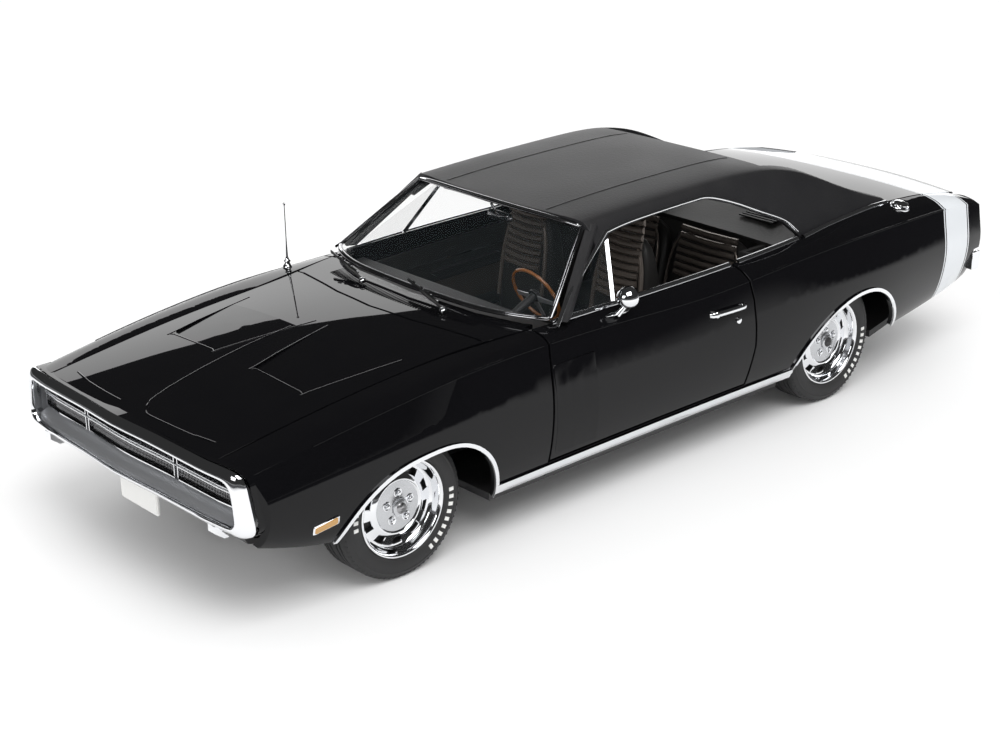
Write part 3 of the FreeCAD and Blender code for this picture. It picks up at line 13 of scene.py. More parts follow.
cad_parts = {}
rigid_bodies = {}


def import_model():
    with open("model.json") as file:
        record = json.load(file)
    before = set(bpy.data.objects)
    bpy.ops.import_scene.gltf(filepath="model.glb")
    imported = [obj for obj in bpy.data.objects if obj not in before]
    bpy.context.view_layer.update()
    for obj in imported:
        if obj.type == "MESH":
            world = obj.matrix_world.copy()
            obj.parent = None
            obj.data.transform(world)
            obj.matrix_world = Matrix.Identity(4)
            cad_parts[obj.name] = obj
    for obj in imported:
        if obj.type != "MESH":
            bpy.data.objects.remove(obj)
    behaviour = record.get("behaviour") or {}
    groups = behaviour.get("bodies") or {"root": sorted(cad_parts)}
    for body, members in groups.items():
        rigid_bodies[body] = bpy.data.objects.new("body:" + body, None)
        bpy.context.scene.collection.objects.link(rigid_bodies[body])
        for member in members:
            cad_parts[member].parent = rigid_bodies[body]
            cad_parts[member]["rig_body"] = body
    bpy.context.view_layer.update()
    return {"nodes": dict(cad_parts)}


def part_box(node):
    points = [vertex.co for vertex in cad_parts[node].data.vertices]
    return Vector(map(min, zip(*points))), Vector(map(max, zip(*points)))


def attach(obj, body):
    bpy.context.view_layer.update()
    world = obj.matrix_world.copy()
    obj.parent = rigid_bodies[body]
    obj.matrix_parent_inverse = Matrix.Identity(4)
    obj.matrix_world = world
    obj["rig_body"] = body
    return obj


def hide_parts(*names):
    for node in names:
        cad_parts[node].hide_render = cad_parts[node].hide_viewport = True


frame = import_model()

bl_info = {
    "name": "Muscle Car Dressing",
    "version": (1, 0, 0),
    "blender": (4, 5, 0),
    "location": "View3D > Sidebar > Muscle Car",
    "description": "Paints, trims and fits out a packed 1:18 muscle car",
    "category": "Object",
}

MM = 0.001
SIDES = (1, -1)
SIDE_NAMES = {1: "left", -1: "right"}

UP = (0, 0, 1)
MERGE_GAP = 0.0005
SHARP_ANGLE = math.radians(35)
SKIN_ANGLE = math.radians(30)
EDGE_ANGLE = math.radians(14)
WALL_ANGLE = math.radians(32)

# The model's size in millimetres, as the CAD's source has it
length = 294.2
half_width = 54.05
height = 74.8

# Control points of the outer skins, as shares of length, half width and height, as the CAD has them:
# x, then (y, z) of each line from the lower edge up, or from the side to the centre
side_shares = [
    (0.496, (0.881, 0.345), (0.910, 0.369), (0.925, 0.441), (0.868, 0.533), (0.799, 0.559), (0.696, 0.564)),
    (0.472, (0.884, 0.307), (0.918, 0.342), (0.934, 0.441), (0.875, 0.548), (0.807, 0.572), (0.696, 0.575)),
    (0.425, (0.894, 0.246), (0.932, 0.283), (0.951, 0.448), (0.888, 0.578), (0.818, 0.602), (0.698, 0.603)),
    (0.374, (0.903, 0.225), (0.944, 0.262), (0.966, 0.455), (0.899, 0.608), (0.827, 0.630), (0.701, 0.630)),
    (0.325, (0.907, 0.209), (0.949, 0.249), (0.975, 0.461), (0.908, 0.631), (0.834, 0.652), (0.703, 0.651)),
    (0.255, (0.903, 0.179), (0.945, 0.225), (0.973, 0.448), (0.908, 0.659), (0.833, 0.676), (0.705, 0.672)),
    (0.167, (0.892, 0.168), (0.934, 0.217), (0.962, 0.421), (0.899, 0.663), (0.855, 0.683), (0.781, 0.691)),
    (0.071, (0.888, 0.168), (0.929, 0.217), (0.957, 0.408), (0.895, 0.651), (0.862, 0.680), (0.814, 0.697)),
    (-0.024, (0.888, 0.171), (0.929, 0.219), (0.962, 0.408), (0.910, 0.634), (0.868, 0.678), (0.818, 0.697)),
    (-0.095, (0.894, 0.174), (0.934, 0.223), (0.977, 0.428), (0.934, 0.651), (0.877, 0.684), (0.814, 0.698)),
    (-0.163, (0.905, 0.179), (0.947, 0.230), (0.998, 0.455), (0.955, 0.675), (0.884, 0.697), (0.801, 0.702)),
    (-0.236, (0.918, 0.198), (0.960, 0.246), (1.012, 0.475), (0.957, 0.683), (0.881, 0.709), (0.784, 0.713)),
    (-0.313, (0.903, 0.227), (0.944, 0.270), (0.995, 0.475), (0.936, 0.676), (0.851, 0.711), (0.759, 0.726)),
    (-0.381, (0.870, 0.246), (0.910, 0.289), (0.955, 0.468), (0.908, 0.666), (0.836, 0.701), (0.740, 0.717)),
    (-0.432, (0.844, 0.265), (0.884, 0.307), (0.925, 0.468), (0.886, 0.654), (0.825, 0.680), (0.740, 0.694)),
    (-0.472, (0.821, 0.286), (0.862, 0.329), (0.903, 0.461), (0.868, 0.636), (0.810, 0.655), (0.740, 0.663)),
    (-0.496, (0.807, 0.316), (0.844, 0.356), (0.881, 0.455), (0.847, 0.607), (0.792, 0.623), (0.740, 0.628)),
]
crease_flank_share = 0.30
crease_top_share = 0.40
crease_column = 4
hood_shares = [
    (0.495, (0.696, 0.562), (0.444, 0.574), (0.000, 0.580)),
    (0.425, (0.698, 0.603), (0.444, 0.620), (0.000, 0.627)),
    (0.374, (0.701, 0.630), (0.444, 0.648), (0.000, 0.655)),
    (0.325, (0.703, 0.651), (0.444, 0.668), (0.000, 0.675)),
    (0.255, (0.705, 0.672), (0.444, 0.686), (0.000, 0.693)),
    (0.205, (0.730, 0.683), (0.444, 0.695), (0.000, 0.701)),
    (0.167, (0.781, 0.691), (0.444, 0.701), (0.000, 0.706)),
    (0.120, (0.800, 0.694), (0.444, 0.706), (0.000, 0.710)),
]
deck_shares = [
    (-0.300, (0.763, 0.724), (0.444, 0.732), (0.000, 0.735)),
    (-0.330, (0.752, 0.724), (0.444, 0.734), (0.000, 0.737)),
    (-0.381, (0.740, 0.717), (0.444, 0.727), (0.000, 0.730)),
    (-0.432, (0.740, 0.694), (0.444, 0.709), (0.000, 0.713)),
    (-0.472, (0.740, 0.663), (0.444, 0.684), (0.000, 0.689)),
    (-0.487, (0.740, 0.655), (0.444, 0.680), (0.000, 0.686)),
]
roof_shares = [
    (0.122, (0.836, 0.690), (0.751, 0.829), (0.651, 0.945), (0.611, 0.966), (0.333, 0.972), (0.000, 0.973)),
    (0.034, (0.816, 0.688), (0.747, 0.829), (0.659, 0.961), (0.611, 0.987), (0.333, 0.993), (0.000, 0.995)),
    (-0.041, (0.814, 0.688), (0.747, 0.829), (0.664, 0.966), (0.611, 0.993), (0.333, 1.000), (0.000, 1.000)),
    (-0.109, (0.806, 0.688), (0.751, 0.829), (0.668, 0.969), (0.614, 0.996), (0.333, 1.001), (0.000, 1.001)),
    (-0.170, (0.795, 0.690), (0.751, 0.824), (0.672, 0.969), (0.625, 0.993), (0.333, 0.997), (0.000, 0.997)),
    (-0.224, (0.782, 0.700), (0.744, 0.802), (0.683, 0.928), (0.640, 0.949), (0.333, 0.955), (0.000, 0.955)),
    (-0.280, (0.768, 0.710), (0.743, 0.767), (0.710, 0.826), (0.673, 0.840), (0.333, 0.848), (0.000, 0.848)),
    (-0.323, (0.751, 0.714), (0.740, 0.737), (0.722, 0.762), (0.692, 0.770), (0.333, 0.775), (0.000, 0.775)),
    (-0.358, (0.740, 0.712), (0.736, 0.716), (0.722, 0.721), (0.699, 0.725), (0.333, 0.727), (0.000, 0.727)),
]


# Sizes and colours that a user would change
class PaintSettings(bpy.types.PropertyGroup):
    """Colours of the body and where its stripe lies."""
    body: FloatVectorProperty(name="Body Colour", description="Gloss enamel of the body", subtype="COLOR",
                              size=3, min=0, max=1, default=(0.0035, 0.0035, 0.0042))
    stripe: FloatVectorProperty(name="Stripe Colour", description="Band round the tail", subtype="COLOR",
                                size=3, min=0, max=1, default=(0.72, 0.745, 0.77))
    stripe_front: FloatProperty(name="Stripe Front", description="Where the band starts along the body",
                                unit="LENGTH", default=-122.8 * MM)
    stripe_rear: FloatProperty(name="Stripe Rear", description="Where the band ends along the body",
                               unit="LENGTH", default=-135.6 * MM)
    pinstripe: FloatProperty(name="Pinstripe Width", description="Width of each fine border line and its gap",
                             unit="LENGTH", default=0.55 * MM, min=0)
    edge: FloatProperty(name="Edge Rounding", description="How wide the panels' edges are rounded",
                        unit="LENGTH", default=0.16 * MM, min=0)


class WheelSettings(bpy.types.PropertyGroup):
    """Counts and sizes on the tyres and rims."""
    slots: IntProperty(name="Rim Slots", description="Slots round each disc", default=10, min=3)
    nuts: IntProperty(name="Wheel Nuts", description="Nuts on each hub", default=5, min=3)
    bars: IntProperty(name="White Bars", description="Raised bars in each of two groups", default=9, min=1)
    blocks: IntProperty(name="Tread Blocks", description="Blocks round each tread shoulder", default=72, min=12)


class GrilleSettings(bpy.types.PropertyGroup):
    """Counts in the grille's mesh."""
    columns: IntProperty(name="Columns", description="Upright wires across the grille", default=150, min=10)
    wires: IntProperty(name="Wires", description="Level wires in each row", default=4, min=1)


class CabinSettings(bpy.types.PropertyGroup):
    """Seat and trim details."""
    pleats: IntProperty(name="Pleats", description="Cross pleats on each seat back", default=11, min=3)
    seat_tone: FloatVectorProperty(name="Pleat Colour", description="Silvery brown of the pleats",
                                   subtype="COLOR", size=3, min=0, max=1, default=(0.26, 0.225, 0.20))


class StageSettings(bpy.types.PropertyGroup):
    """Camera and studio."""
    lens: FloatProperty(name="Focal Length", description="Camera lens", subtype="DISTANCE_CAMERA", default=66.6)
    reach: FloatProperty(name="Distance", description="From the aim point to the camera", unit="LENGTH",
                         default=502.5 * MM)
    azimuth: FloatProperty(name="Azimuth", description="Camera direction from the nose towards the left side",
                           subtype="ANGLE", default=math.radians(48.17))
    rise: FloatProperty(name="Elevation", description="Camera height angle", subtype="ANGLE",
                        default=math.radians(21.67))
    roll: FloatProperty(name="Roll", description="Camera roll", subtype="ANGLE", default=math.radians(-0.81))
    light: FloatProperty(name="Light", description="Strength of the studio lamps", default=1.0, min=0)


def settings(group):
    """Return one of the scene's settings groups."""
    return getattr(bpy.context.scene, "muscle_car_" + group)


# Smooth skins
def spline_weights(count, degree, samples):
    """Return the weights of a clamped even spline's control points at even steps along it."""
    spans = count - degree
    knots = np.concatenate([np.zeros(degree), np.arange(spans + 1), np.full(degree, spans)]).astype(float)
    steps = np.linspace(0, spans, samples)
    weights = np.zeros((samples, len(knots) - 1))
    weights[np.arange(samples), np.minimum(steps.astype(int), spans - 1) + degree] = 1
    for order in range(1, degree + 1):
        for i in range(len(knots) - 1 - order):
            left = knots[i + order] - knots[i]
            right = knots[i + order + 1] - knots[i + 1]
            first = (steps - knots[i]) / left * weights[:, i] if left else 0
            second = (knots[i + order + 1] - steps) / right * weights[:, i + 1] if right else 0
            weights[:, i] = first + second
    return weights[:, :count]


class Skin:
    """A smooth outer surface, sampled closely, that gives true points and normals."""

    def __init__(self, net, along_samples=160, across_samples=24, mirror=False):
        net = np.array(net)
        along = spline_weights(net.shape[0], 3, along_samples)
        across = spline_weights(net.shape[1], 2, across_samples)
        self.points = np.einsum("ai,ijk,bj->abk", along, net, across)
        normals = np.cross(np.gradient(self.points, axis=0), np.gradient(self.points, axis=1))
        self.normals = normals / np.linalg.norm(normals, axis=2, keepdims=True)
        if mirror:
            self.points = self.points * (1, -1, 1)
            self.normals = self.normals * (1, -1, 1)
        index = np.arange(along_samples * across_samples).reshape(along_samples, across_samples)
        a, b, c, d = index[:-1, :-1], index[1:, :-1], index[1:, 1:], index[:-1, 1:]
        self.corners = np.concatenate([np.stack([a, b, c], 2).reshape(-1, 3), np.stack([a, c, d], 2).reshape(-1, 3)])
        self.flat_points = self.points.reshape(-1, 3)
        self.flat_normals = self.normals.reshape(-1, 3)
        self.tree = BVHTree.FromPolygons(self.flat_points.tolist(), self.corners.tolist())

    def nearest(self, point):
        """Return the distance from a point to the skin, and the skin's normal there."""
        place, _, index, distance = self.tree.find_nearest(point)
        corners = self.corners[index]
        a, b, c = self.flat_points[corners]
        total = np.linalg.norm(np.cross(b - a, c - a)) or 1
        spot = np.array(place)
        shares = np.array([np.linalg.norm(np.cross(b - spot, c - spot)), np.linalg.norm(np.cross(c - spot, a - spot)),
                           np.linalg.norm(np.cross(a - spot, b - spot))]) / total
        normal = shares @ self.flat_normals[corners]
        return distance, normal / (np.linalg.norm(normal) or 1)

    def beside(self, x, z):
        """Return the skin's left point and normal, seen level from the side, at a length and a height."""
        gaps = (self.flat_points[:, 0] - x) ** 2 + (self.flat_points[:, 2] - z) ** 2
        point, normal = self.blend(gaps + 1e6 * (self.flat_points[:, 1] < 0))
        return Vector((x, point[1], z)), normal

    def above(self, x, y):
        """Return the skin's point and normal seen from above at a length and a side place."""
        point, normal = self.blend((self.flat_points[:, 0] - x) ** 2 + (self.flat_points[:, 1] - y) ** 2)
        return Vector((x, y, point[2])), normal

    def blend(self, gaps):
        """Return the point and normal blended from the four samples with the smallest gaps."""
        pick = np.argsort(gaps)[:4]
        shares = 1 / (gaps[pick] + 1e-6)
        shares = shares / shares.sum()
        return shares @ self.flat_points[pick], Vector(shares @ self.flat_normals[pick]).normalized()


def at(x, y, z):
    """Return a point given as shares of length, half width and height."""
    return np.array((x * length, y * half_width, z * height))


def side_nets():
    """Return the left side's nets below and above its crease."""
    rows = []
    for x, *pairs in side_shares:
        bottom, lower, widest, crease, shoulder, inner = [at(x, y, z) for y, z in pairs]
        below = crease + (widest - crease) * crease_flank_share
        above = crease + (shoulder - crease) * crease_top_share
        rows.append([bottom, lower, widest, below, crease, above, shoulder, inner])
    return [[row[:crease_column + 1] for row in rows], [row[crease_column:] for row in rows]]


def spread_net(table, edge_gap):
    """Return a net from the left edge over the centre line to the right edge."""
    net = []
    for x, *pairs in table:
        left = [at(x, y, z) for y, z in pairs]
        left[0] = left[0] - (0, edge_gap, 0)
        net.append(left + [point * (1, -1, 1) for point in reversed(left[:-1])])
    return net


seam_gap = 0.4
flank_net, shoulder_net = side_nets()
flank, shoulder = Skin(flank_net), Skin(shoulder_net)
side_skins = [flank, shoulder, Skin(flank_net, mirror=True), Skin(shoulder_net, mirror=True)]
hood_skin = Skin(spread_net(hood_shares, seam_gap), 100, 60)
deck_skin = Skin(spread_net(deck_shares, seam_gap), 80, 60)
roof_skin = Skin(spread_net(roof_shares, 0), 120, 120)


# Shader groups and finishes
def new_tree(name, inputs, outputs, tree_kind="ShaderNodeTree"):
    """Return a new node group with named inputs and outputs, and its two end nodes."""
    tree = bpy.data.node_groups.new(name, tree_kind)
    for socket_name, kind, default in inputs:
        socket = tree.interface.new_socket(socket_name, in_out="INPUT", socket_type=kind)
        if default is not None:
            socket.default_value = default
    for socket_name, kind in outputs:
        tree.interface.new_socket(socket_name, in_out="OUTPUT", socket_type=kind)
    return tree, tree.nodes.new("NodeGroupInput"), tree.nodes.new("NodeGroupOutput")


class Wiring:
    """Shorthand for placing and linking nodes in one tree."""

    def __init__(self, tree):
        self.tree = tree

    def node(self, kind, inputs=(), **attributes):
        """Place a node, set its attributes and feed its inputs with values or sockets."""
        node = self.tree.nodes.new(kind)
        for name, value in attributes.items():
            setattr(node, name, value)
        for key, value in dict(inputs).items():
            socket = node.inputs[key]
            if isinstance(value, bpy.types.NodeSocket):
                self.tree.links.new(value, socket)
            else:
                socket.default_value = value
        return node

    def math(self, operation, *values):
        """Place a Math node and return its value."""
        return self.node("ShaderNodeMath", dict(enumerate(values)), operation=operation).outputs[0]

    def mix(self, share, first, second):
        """Mix two colours by a share and return the colour."""
        return self.node("ShaderNodeMix", {0: share, 6: first, 7: second}, data_type="RGBA").outputs[2]


def grain_group():
    """Build the group that gives a fine moulded or grained relief and an uneven gloss."""
    tree, start, end = new_tree(
        "Fine Grain",
        [("Scale", "NodeSocketFloat", 900.0), ("Stretch", "NodeSocketVector", (1, 1, 1)),
         ("Roughness", "NodeSocketFloat", 0.4), ("Spread", "NodeSocketFloat", 0.1)],
        [("Height", "NodeSocketFloat"), ("Roughness", "NodeSocketFloat")])
    wiring = Wiring(tree)
    place = wiring.node("ShaderNodeTexCoord").outputs["Object"]
    stretched = wiring.node("ShaderNodeVectorMath", {0: place, 1: start.outputs["Stretch"]},
                            operation="MULTIPLY").outputs[0]
    grain = wiring.node("ShaderNodeTexNoise", {"Vector": stretched, "Scale": start.outputs["Scale"], "Detail": 3.0})
    broad = wiring.node("ShaderNodeTexNoise", {"Vector": place, "Scale": 60.0, "Detail": 2.0})
    uneven = wiring.math("MULTIPLY", wiring.math("SUBTRACT", broad.outputs[0], 0.5), start.outputs["Spread"])
    tree.links.new(grain.outputs[0], end.inputs["Height"])
    tree.links.new(wiring.math("ADD", start.outputs["Roughness"], uneven), end.inputs["Roughness"])
    return tree


def dust_group():
    """Build the group that dulls a colour with a little dust in patches and on faces that look up."""
    tree, start, end = new_tree(
        "Light Dust",
        [("Colour", "NodeSocketColor", (0, 0, 0, 1)), ("Dust", "NodeSocketColor", (0.3, 0.28, 0.26, 1)),
         ("Amount", "NodeSocketFloat", 0.05)],
        [("Colour", "NodeSocketColor")])
    wiring = Wiring(tree)
    place = wiring.node("ShaderNodeTexCoord").outputs["Object"]
    patches = wiring.node("ShaderNodeTexNoise", {"Vector": place, "Scale": 120.0, "Detail": 4.0}).outputs[0]
    up = wiring.node("ShaderNodeSeparateXYZ", {0: wiring.node("ShaderNodeNewGeometry").outputs["Normal"]}).outputs[2]
    lying = wiring.math("MULTIPLY", wiring.math("MAXIMUM", up, 0.2), patches)
    share = wiring.math("MULTIPLY", lying, start.outputs["Amount"])
    tree.links.new(wiring.mix(share, start.outputs["Colour"], start.outputs["Dust"]), end.inputs["Colour"])
    return tree


def finish(name, colour, roughness, metallic=0.0, grain=(900.0, 0.02), spread=0.08, dust=0.03,
           stretch=(1, 1, 1), sockets=()):
    """Build a finish: a base shader with grain in its relief and gloss, and a little dust on its colour."""
    material = bpy.data.materials.new(name)
    material.use_nodes = True
    wiring = Wiring(material.node_tree)
    shader = material.node_tree.nodes["Principled BSDF"]
    fine = wiring.node("ShaderNodeGroup", node_tree=bpy.data.node_groups["Fine Grain"])
    fine.inputs["Scale"].default_value = grain[0]
    fine.inputs["Stretch"].default_value = stretch
    fine.inputs["Roughness"].default_value = roughness
    fine.inputs["Spread"].default_value = spread
    dusty = wiring.node("ShaderNodeGroup", node_tree=bpy.data.node_groups["Light Dust"])
    dusty.inputs["Colour"].default_value = (*colour, 1)
    dusty.inputs["Amount"].default_value = dust
    bump = wiring.node("ShaderNodeBump", {"Height": fine.outputs["Height"], "Strength": grain[1],
                                          "Distance": 0.2 * MM})
    material.node_tree.links.new(dusty.outputs[0], shader.inputs["Base Color"])
    material.node_tree.links.new(fine.outputs["Roughness"], shader.inputs["Roughness"])
    material.node_tree.links.new(bump.outputs[0], shader.inputs["Normal"])
    shader.inputs["Metallic"].default_value = metallic
    for key, value in dict(sockets).items():
        shader.inputs[key].default_value = value
    material.diffuse_color = (*colour, 1)
    return material


def paint_finish():
    """Build the gloss enamel, with the white band and its pinstripes round the tail."""
    paint = settings("paint")
    material = finish("gloss_enamel", paint.body, 0.10, grain=(420.0, 0.006), spread=0.03, dust=0.004,
                      sockets={"Coat Weight": 1.0, "Coat Roughness": 0.015, "Coat IOR": 1.32,
                               "Specular IOR Level": 0.0})
    tree = material.node_tree
    wiring = Wiring(tree)
    shader = tree.nodes["Principled BSDF"]
    base = shader.inputs["Base Color"].links[0].from_socket
    place = wiring.node("ShaderNodeTexCoord").outputs["Object"]
    along = wiring.node("ShaderNodeSeparateXYZ", {0: place}).outputs[0]
    middle = (paint.stripe_front + paint.stripe_rear) / 2
    half = (paint.stripe_front - paint.stripe_rear) / 2
    reach = wiring.math("ABSOLUTE", wiring.math("SUBTRACT", along, middle))
    band = wiring.math("LESS_THAN", reach, half)
    fine_line = wiring.math("COMPARE", reach, half + paint.pinstripe * 1.5, paint.pinstripe / 2)
    mask = wiring.math("MAXIMUM", band, fine_line)
    tree.links.new(wiring.mix(mask, base, (*paint.stripe, 1)), shader.inputs["Base Color"])
    return material


finishes = {}


def make_finishes():
    """Build the shader groups and every finish."""
    grain_group()
    dust_group()
    cabin = settings("cabin")
    finishes["paint"] = paint_finish()
    plain = {
        "vinyl": ((0.012, 0.012, 0.014), 0.50, 0, (1400.0, 0.35), 0.10, 0.06),
        "chrome": ((0.86, 0.87, 0.89), 0.07, 1, (300.0, 0.01), 0.04, 0.01),
        "dark_chrome": ((0.30, 0.30, 0.31), 0.12, 1, (300.0, 0.01), 0.05, 0.01),
        "argent": ((0.50, 0.51, 0.53), 0.34, 0.75, (1500.0, 0.08), 0.08, 0.05),
        "wheel_argent": ((0.60, 0.61, 0.63), 0.28, 0.85, (1500.0, 0.06), 0.08, 0.03),
        "grille_black": ((0.012, 0.012, 0.013), 0.45, 0, (900.0, 0.05), 0.10, 0.05),
        "satin_black": ((0.014, 0.014, 0.015), 0.48, 0, (1100.0, 0.12), 0.12, 0.05),
        "cabin_black": ((0.016, 0.0155, 0.015), 0.42, 0, (1300.0, 0.25), 0.10, 0.04),
        "pleats": (tuple(cabin.seat_tone), 0.24, 0.70, (1300.0, 0.20), 0.10, 0.03),
        "carpet": ((0.012, 0.012, 0.012), 0.95, 0, (2200.0, 0.9), 0.05, 0.10),
        "rubber": ((0.018, 0.018, 0.019), 0.62, 0, (1600.0, 0.15), 0.12, 0.10),
        "white_rubber": ((0.80, 0.80, 0.78), 0.55, 0, (1200.0, 0.05), 0.08, 0.04),
        "steel": ((0.42, 0.42, 0.43), 0.35, 1, (700.0, 0.06), 0.10, 0.08),
        "undercoat": ((0.035, 0.035, 0.037), 0.60, 0, (900.0, 0.25), 0.10, 0.12),
        "engine_enamel": ((0.045, 0.11, 0.27), 0.30, 0, (900.0, 0.06), 0.08, 0.06),
        "blank_plate": ((0.78, 0.78, 0.76), 0.30, 0, (500.0, 0.02), 0.05, 0.02),
        "dial_face": ((0.03, 0.03, 0.032), 0.30, 0, (900.0, 0.02), 0.05, 0.02),
    }
    for name, (colour, roughness, metallic, grain, spread, dust) in plain.items():
        finishes[name] = finish(name, colour, roughness, metallic, grain, spread, dust)
    finishes["brushed"] = finish("brushed", (0.50, 0.51, 0.53), 0.36, 0.75, (900.0, 0.25), 0.08, 0.03,
                                 stretch=(1.0, 0.04, 1.0))
    finishes["wood"] = finish("wood", (0.23, 0.085, 0.022), 0.28, 0, (350.0, 0.10), 0.10, 0.02,
                              stretch=(1.0, 0.15, 1.0), sockets={"Coat Weight": 0.6})
    finishes["glass"] = finish("glass", (0.05, 0.06, 0.065), 0.03, 0, (2.0, 0.0), 0.005, 0.0,
                               sockets={"Alpha": 0.07, "Specular IOR Level": 0.5})
    finishes["amber"] = finish("amber", (0.50, 0.27, 0.07), 0.18, 0, (700.0, 0.20), 0.05, 0.0,
                               sockets={"Coat Weight": 0.8})
    finishes["red_lens"] = finish("red_lens", (0.42, 0.008, 0.010), 0.16, 0, (700.0, 0.20), 0.05, 0.0,
                                  sockets={"Coat Weight": 0.8})


# Mesh tools
class Shape:
    """A mesh in the making, in millimetres, with a finish for each group of faces."""

    def __init__(self):
        self.mesh = bmesh.new()
        self.finishes = []

    def group(self, name):
        """Return the material index of a finish."""
        if name not in self.finishes:
            self.finishes.append(name)
        return self.finishes.index(name)

    def loft(self, rings, finish_name, around=True, caps=True, closed=False):
        """Join rings of points into a tube, a sheet or a closed ring."""
        index = self.group(finish_name)
        rows = [[self.mesh.verts.new(point) for point in ring] for ring in rings]
        faces = []
        pairs = list(zip(rows, rows[1:])) + ([(rows[-1], rows[0])] if closed else [])
        for low, high in pairs:
            count = len(low)
            for i in range(count if around else count - 1):
                j = (i + 1) % count
                faces.append(self.mesh.faces.new((low[i], low[j], high[j], high[i])))
        if caps and not closed and around:
            faces.append(self.mesh.faces.new(list(reversed(rows[0]))))
            faces.append(self.mesh.faces.new(rows[-1]))
        for face in faces:
            face.material_index = index
        return faces

    def lathe(self, profile, centre, finish_name, axis=1, side=1, segments=64):
        """Turn a closed profile of (radius, reach) about an axle through the centre."""
        centre = Vector(centre)
        rings = []
        for cosine, sine in spokes(segments):
            ring = []
            for radius, reach in profile:
                point = [radius * cosine, radius * sine]
                point.insert(axis, side * reach)
                ring.append(centre + Vector(point))
            rings.append(ring)
        return self.loft(rings, finish_name, closed=True)

    def sweep(self, path, section, finish_name, up=UP, closed=False):
        """Carry a flat section of (side, up) points along a path."""
        path = [Vector(point) for point in path]
        ups = up if isinstance(up, list) else [Vector(up)] * len(path)
        rings = []
        for i, point in enumerate(path):
            before = path[i - 1] if i or closed else point
            after = path[(i + 1) % len(path)] if i + 1 < len(path) or closed else point
            ahead = (after - before).normalized()
            beside = ahead.cross(ups[i]).normalized()
            above = beside.cross(ahead).normalized()
            rings.append([point + beside * a + above * b for a, b in section])
        return self.loft(rings, finish_name, closed=closed)

    def block(self, low, high, finish_name):
        """Add a box between two corners."""
        low, high = Vector(low), Vector(high)
        ring = oblong(low.x, low.y, high.x, high.y)
        return self.loft([[(x, y, low.z) for x, y in ring], [(x, y, high.z) for x, y in ring]], finish_name)

    def turned(self, profile, centre, axis, finish_name, segments=32):
        """Turn an open profile of (radius, reach) about any axis, closed where its radius is zero."""
        axis = Vector(axis).normalized()
        beside, above = square_to(axis)
        rings = [[Vector(centre) + axis * reach + (beside * cosine + above * sine) * max(radius, 0.001)
                  for cosine, sine in spokes(segments)] for radius, reach in profile]
        return self.loft(rings, finish_name)

    def both_sides(self, path, section, finish_name, ups, sides=SIDES):
        """Carry a section along a left-hand path on the left side, the right side or both."""
        for side in sides:
            self.sweep([to_side(point, side) for point in path], section, finish_name,
                       up=[to_side(up, side) for up in ups])

    def plate(self, outline, plane, low, high, finish_name):
        """Draw a flat outline out between two levels of its plane's normal."""
        def placed(level):
            """Return the outline at one level."""
            if plane == "XY":
                return [(a, b, level) for a, b in outline]
            if plane == "XZ":
                return [(a, level, b) for a, b in outline]
            return [(level, a, b) for a, b in outline]
        return self.loft([placed(low), placed(high)], finish_name)

    def tube(self, start, end, radius, finish_name, sides=16, end_radius=None):
        """Add a round bar between two points."""
        end_radius = radius if end_radius is None else end_radius
        start, end = Vector(start), Vector(end)
        ahead = (end - start).normalized()
        beside, above = square_to(ahead)
        rings = [[point + (beside * cosine + above * sine) * reach for cosine, sine in spokes(sides)]
                 for point, reach in ((start, radius), (end, end_radius))]
        return self.loft(rings, finish_name)

    def copy_node(self, node, finish_name):
        """Take over a CAD node's mesh."""
        index = self.group(finish_name)
        known = len(self.mesh.faces)
        self.mesh.from_mesh(frame["nodes"][node].data)
        self.mesh.faces.ensure_lookup_table()
        fresh = self.mesh.faces[known:]
        corners = list(dict.fromkeys(vert for face in fresh for vert in face.verts))
        for vert in corners:
            vert.co = vert.co / MM
        for face in fresh:
            face.material_index = index
        bmesh.ops.remove_doubles(self.mesh, verts=corners, dist=MERGE_GAP)
        return fresh

    def make(self, name, body, replaces=(), bevel=0.0, smooth=35.0, recalculate=True, segments=1):
        """Turn the shape into a piece that rides on a body."""
        mesh = self.mesh
        if recalculate:
            bmesh.ops.remove_doubles(mesh, verts=mesh.verts, dist=MERGE_GAP)
            bmesh.ops.recalc_face_normals(mesh, faces=mesh.faces)
        if bevel:
            sharp = [edge for edge in mesh.edges
                     if len(edge.link_faces) == 2 and edge.calc_face_angle(0) > SHARP_ANGLE]
            bmesh.ops.bevel(mesh, geom=sharp, offset=bevel, segments=segments, affect="EDGES", clamp_overlap=True)
        data = smooth_data(mesh, name)
        for finish_name in self.finishes:
            data.materials.append(finishes[finish_name])
        data.set_sharp_from_angle(angle=math.radians(smooth))
        return fit(bpy.data.objects.new(name, data), body, replaces)


def smooth_data(mesh, name):
    """Turn a mesh in the making, in millimetres, into smooth-shaded mesh data in metres."""
    for vert in mesh.verts:
        vert.co = vert.co * MM
    data = bpy.data.meshes.new(name)
    mesh.to_mesh(data)
    mesh.free()
    data.polygons.foreach_set("use_smooth", [True] * len(data.polygons))
    return data


def box_mm(node):
    """Return a CAD node's lowest and highest corner in millimetres."""
    low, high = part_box(node)
    return low / MM, high / MM


def fit(piece, body, replaces=()):
    """Link a piece, let it ride on its body, and hide the nodes that it stands for."""
    if piece.name not in bpy.context.scene.collection.objects:
        bpy.context.scene.collection.objects.link(piece)
    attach(piece, body)
    if replaces:
        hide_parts(*replaces)
    return piece


